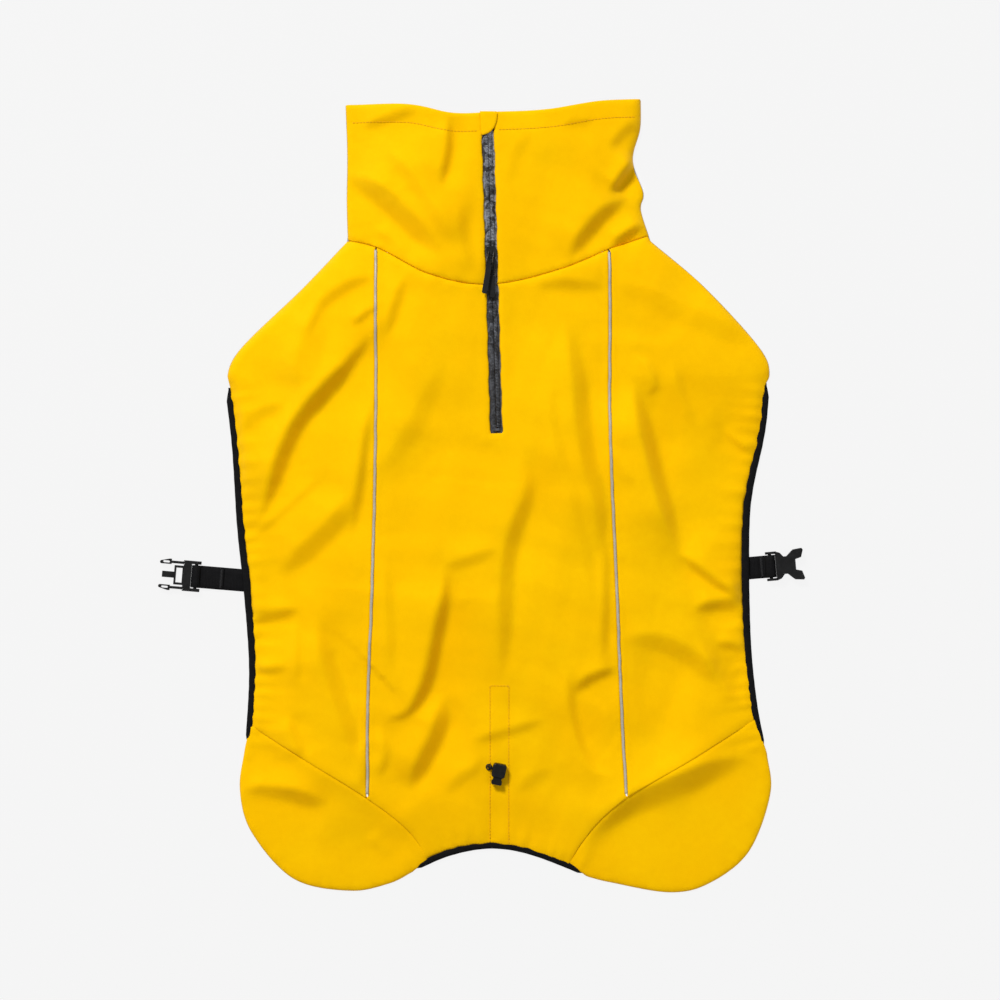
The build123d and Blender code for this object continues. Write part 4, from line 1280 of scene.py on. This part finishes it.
def add_strap(side, fold, turn, bar_x, lap_end, bulge):
    """Webbing from its sewn end, round the buckle's bar and back over itself to where it is stitched.

    The loop round the bar bulges along the strap, so that it fills the buckle's slot."""
    mean = LOOP_RADIUS - WEBBING / 2
    line = [(x, WEBBING / 2) for x in np.linspace(-SEWN_END, bar_x, int((bar_x + SEWN_END) / 1.6))]
    for angle in np.radians(np.arange(-75, 196, 15)):
        line.append((bar_x + (mean + bulge) * math.cos(angle), LOOP_RADIUS + mean * math.sin(angle)))
    back = WEBBING * 1.5 + 0.04
    line += [(bar_x - mean - 1.2, back + 0.7), (bar_x - mean - 2.4, back + 0.12)]
    steps = max(3, int((bar_x - mean - lap_end) / 1.6))
    line += [(x, back) for x in np.linspace(bar_x - mean - 3.6, lap_end, steps)]
    line = resample(np.array(line), 1.0)
    across = np.array([-1, -0.97, -0.5, 0, 0.5, 0.97, 1]) * WEBBING_HALF
    crest = np.array([0.45, 0.95, 1, 1, 1, 0.95, 0.45]) * WEBBING / 2 * 0.97
    section = [(y, c) for y, c in zip(across, crest)] + [(y, -c) for y, c in zip(across[::-1], crest[::-1])]
    rows = [offset_path(line, c) for _, c in section]
    vertices = [(row[i, 0], y, row[i, 1]) for i in range(len(line)) for row, (y, _) in zip(rows, section)]
    faces = ring_quads(len(line), len(section)) + [end[::-1] for end in ring_ends(len(line), len(section))]
    name = side + "_strap"
    obj = mesh_from(name + "_webbing", from_strap(fold, turn, vertices), faces)
    dress(obj, name, "webbing", "webbing")
    obj.parent = None
    obj.matrix_world = Matrix.Identity(4)
    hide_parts(name, name + "_anchor")
    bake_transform(obj)


def bar_tack(name, fold, turn, x, body):
    """A dense zigzag of thread across the doubled webbing."""
    y = np.linspace(-TACK_HALF, TACK_HALF, TACK_ROWS)
    zig = x + np.where(np.arange(TACK_ROWS) % 2, 1.1, -1.1)
    line = resample(np.column_stack([zig, y]), 0.5)
    points = from_strap(fold, turn, np.column_stack([line, np.full(len(line), 2 * WEBBING + 0.1)]))
    dress(tube(name, points, 0.28, 0.22, sides=6), body, "webbing", "black_thread")


def add_straps():
    add_strap("left", LEFT_FOLD, LEFT_TURN, LEFT_BAR_X, lap_end=10.5, bulge=0.7)
    add_strap("right", RIGHT_FOLD, RIGHT_TURN, RIGHT_BAR_X, lap_end=5.2, bulge=1.35)
    bar_tack("left_strap_tack", LEFT_FOLD, LEFT_TURN, 12.4, "left_strap")
    bar_tack("right_strap_tack", RIGHT_FOLD, RIGHT_TURN, 7.4, "right_strap")
    for node in ("male_buckle", "front_latch_arm", "rear_latch_arm", "female_buckle"):
        dress(refine_cad(node, 0.45), node, "buckle_plastic", "plastic")


# ------------------------------ thread

def add_stitches():
    hem = collar_hem_line()
    zip_x = zip_frame_points(hem)[:, 0]
    rows = {"collar_hem_left": hem[(zip_x < -9) & (hem[:, 0] > -131)],
            "collar_hem_right": hem[(zip_x > 8) & (hem[:, 0] < 122)]}
    for i, row in enumerate(tunnel_lines()):
        rows["tunnel_%d" % i] = row
    for name, line in rows.items():
        dress(stitches(name + "_thread", line), GARMENT, "shell_fabric", "thread")


# ------------------------------ everything together

add_camera()
add_lights()
add_floor()
add_panels()
add_underside()
add_bindings()
add_piping()
add_zip()
add_garage()
add_drawcord()
add_straps()
add_stitches()
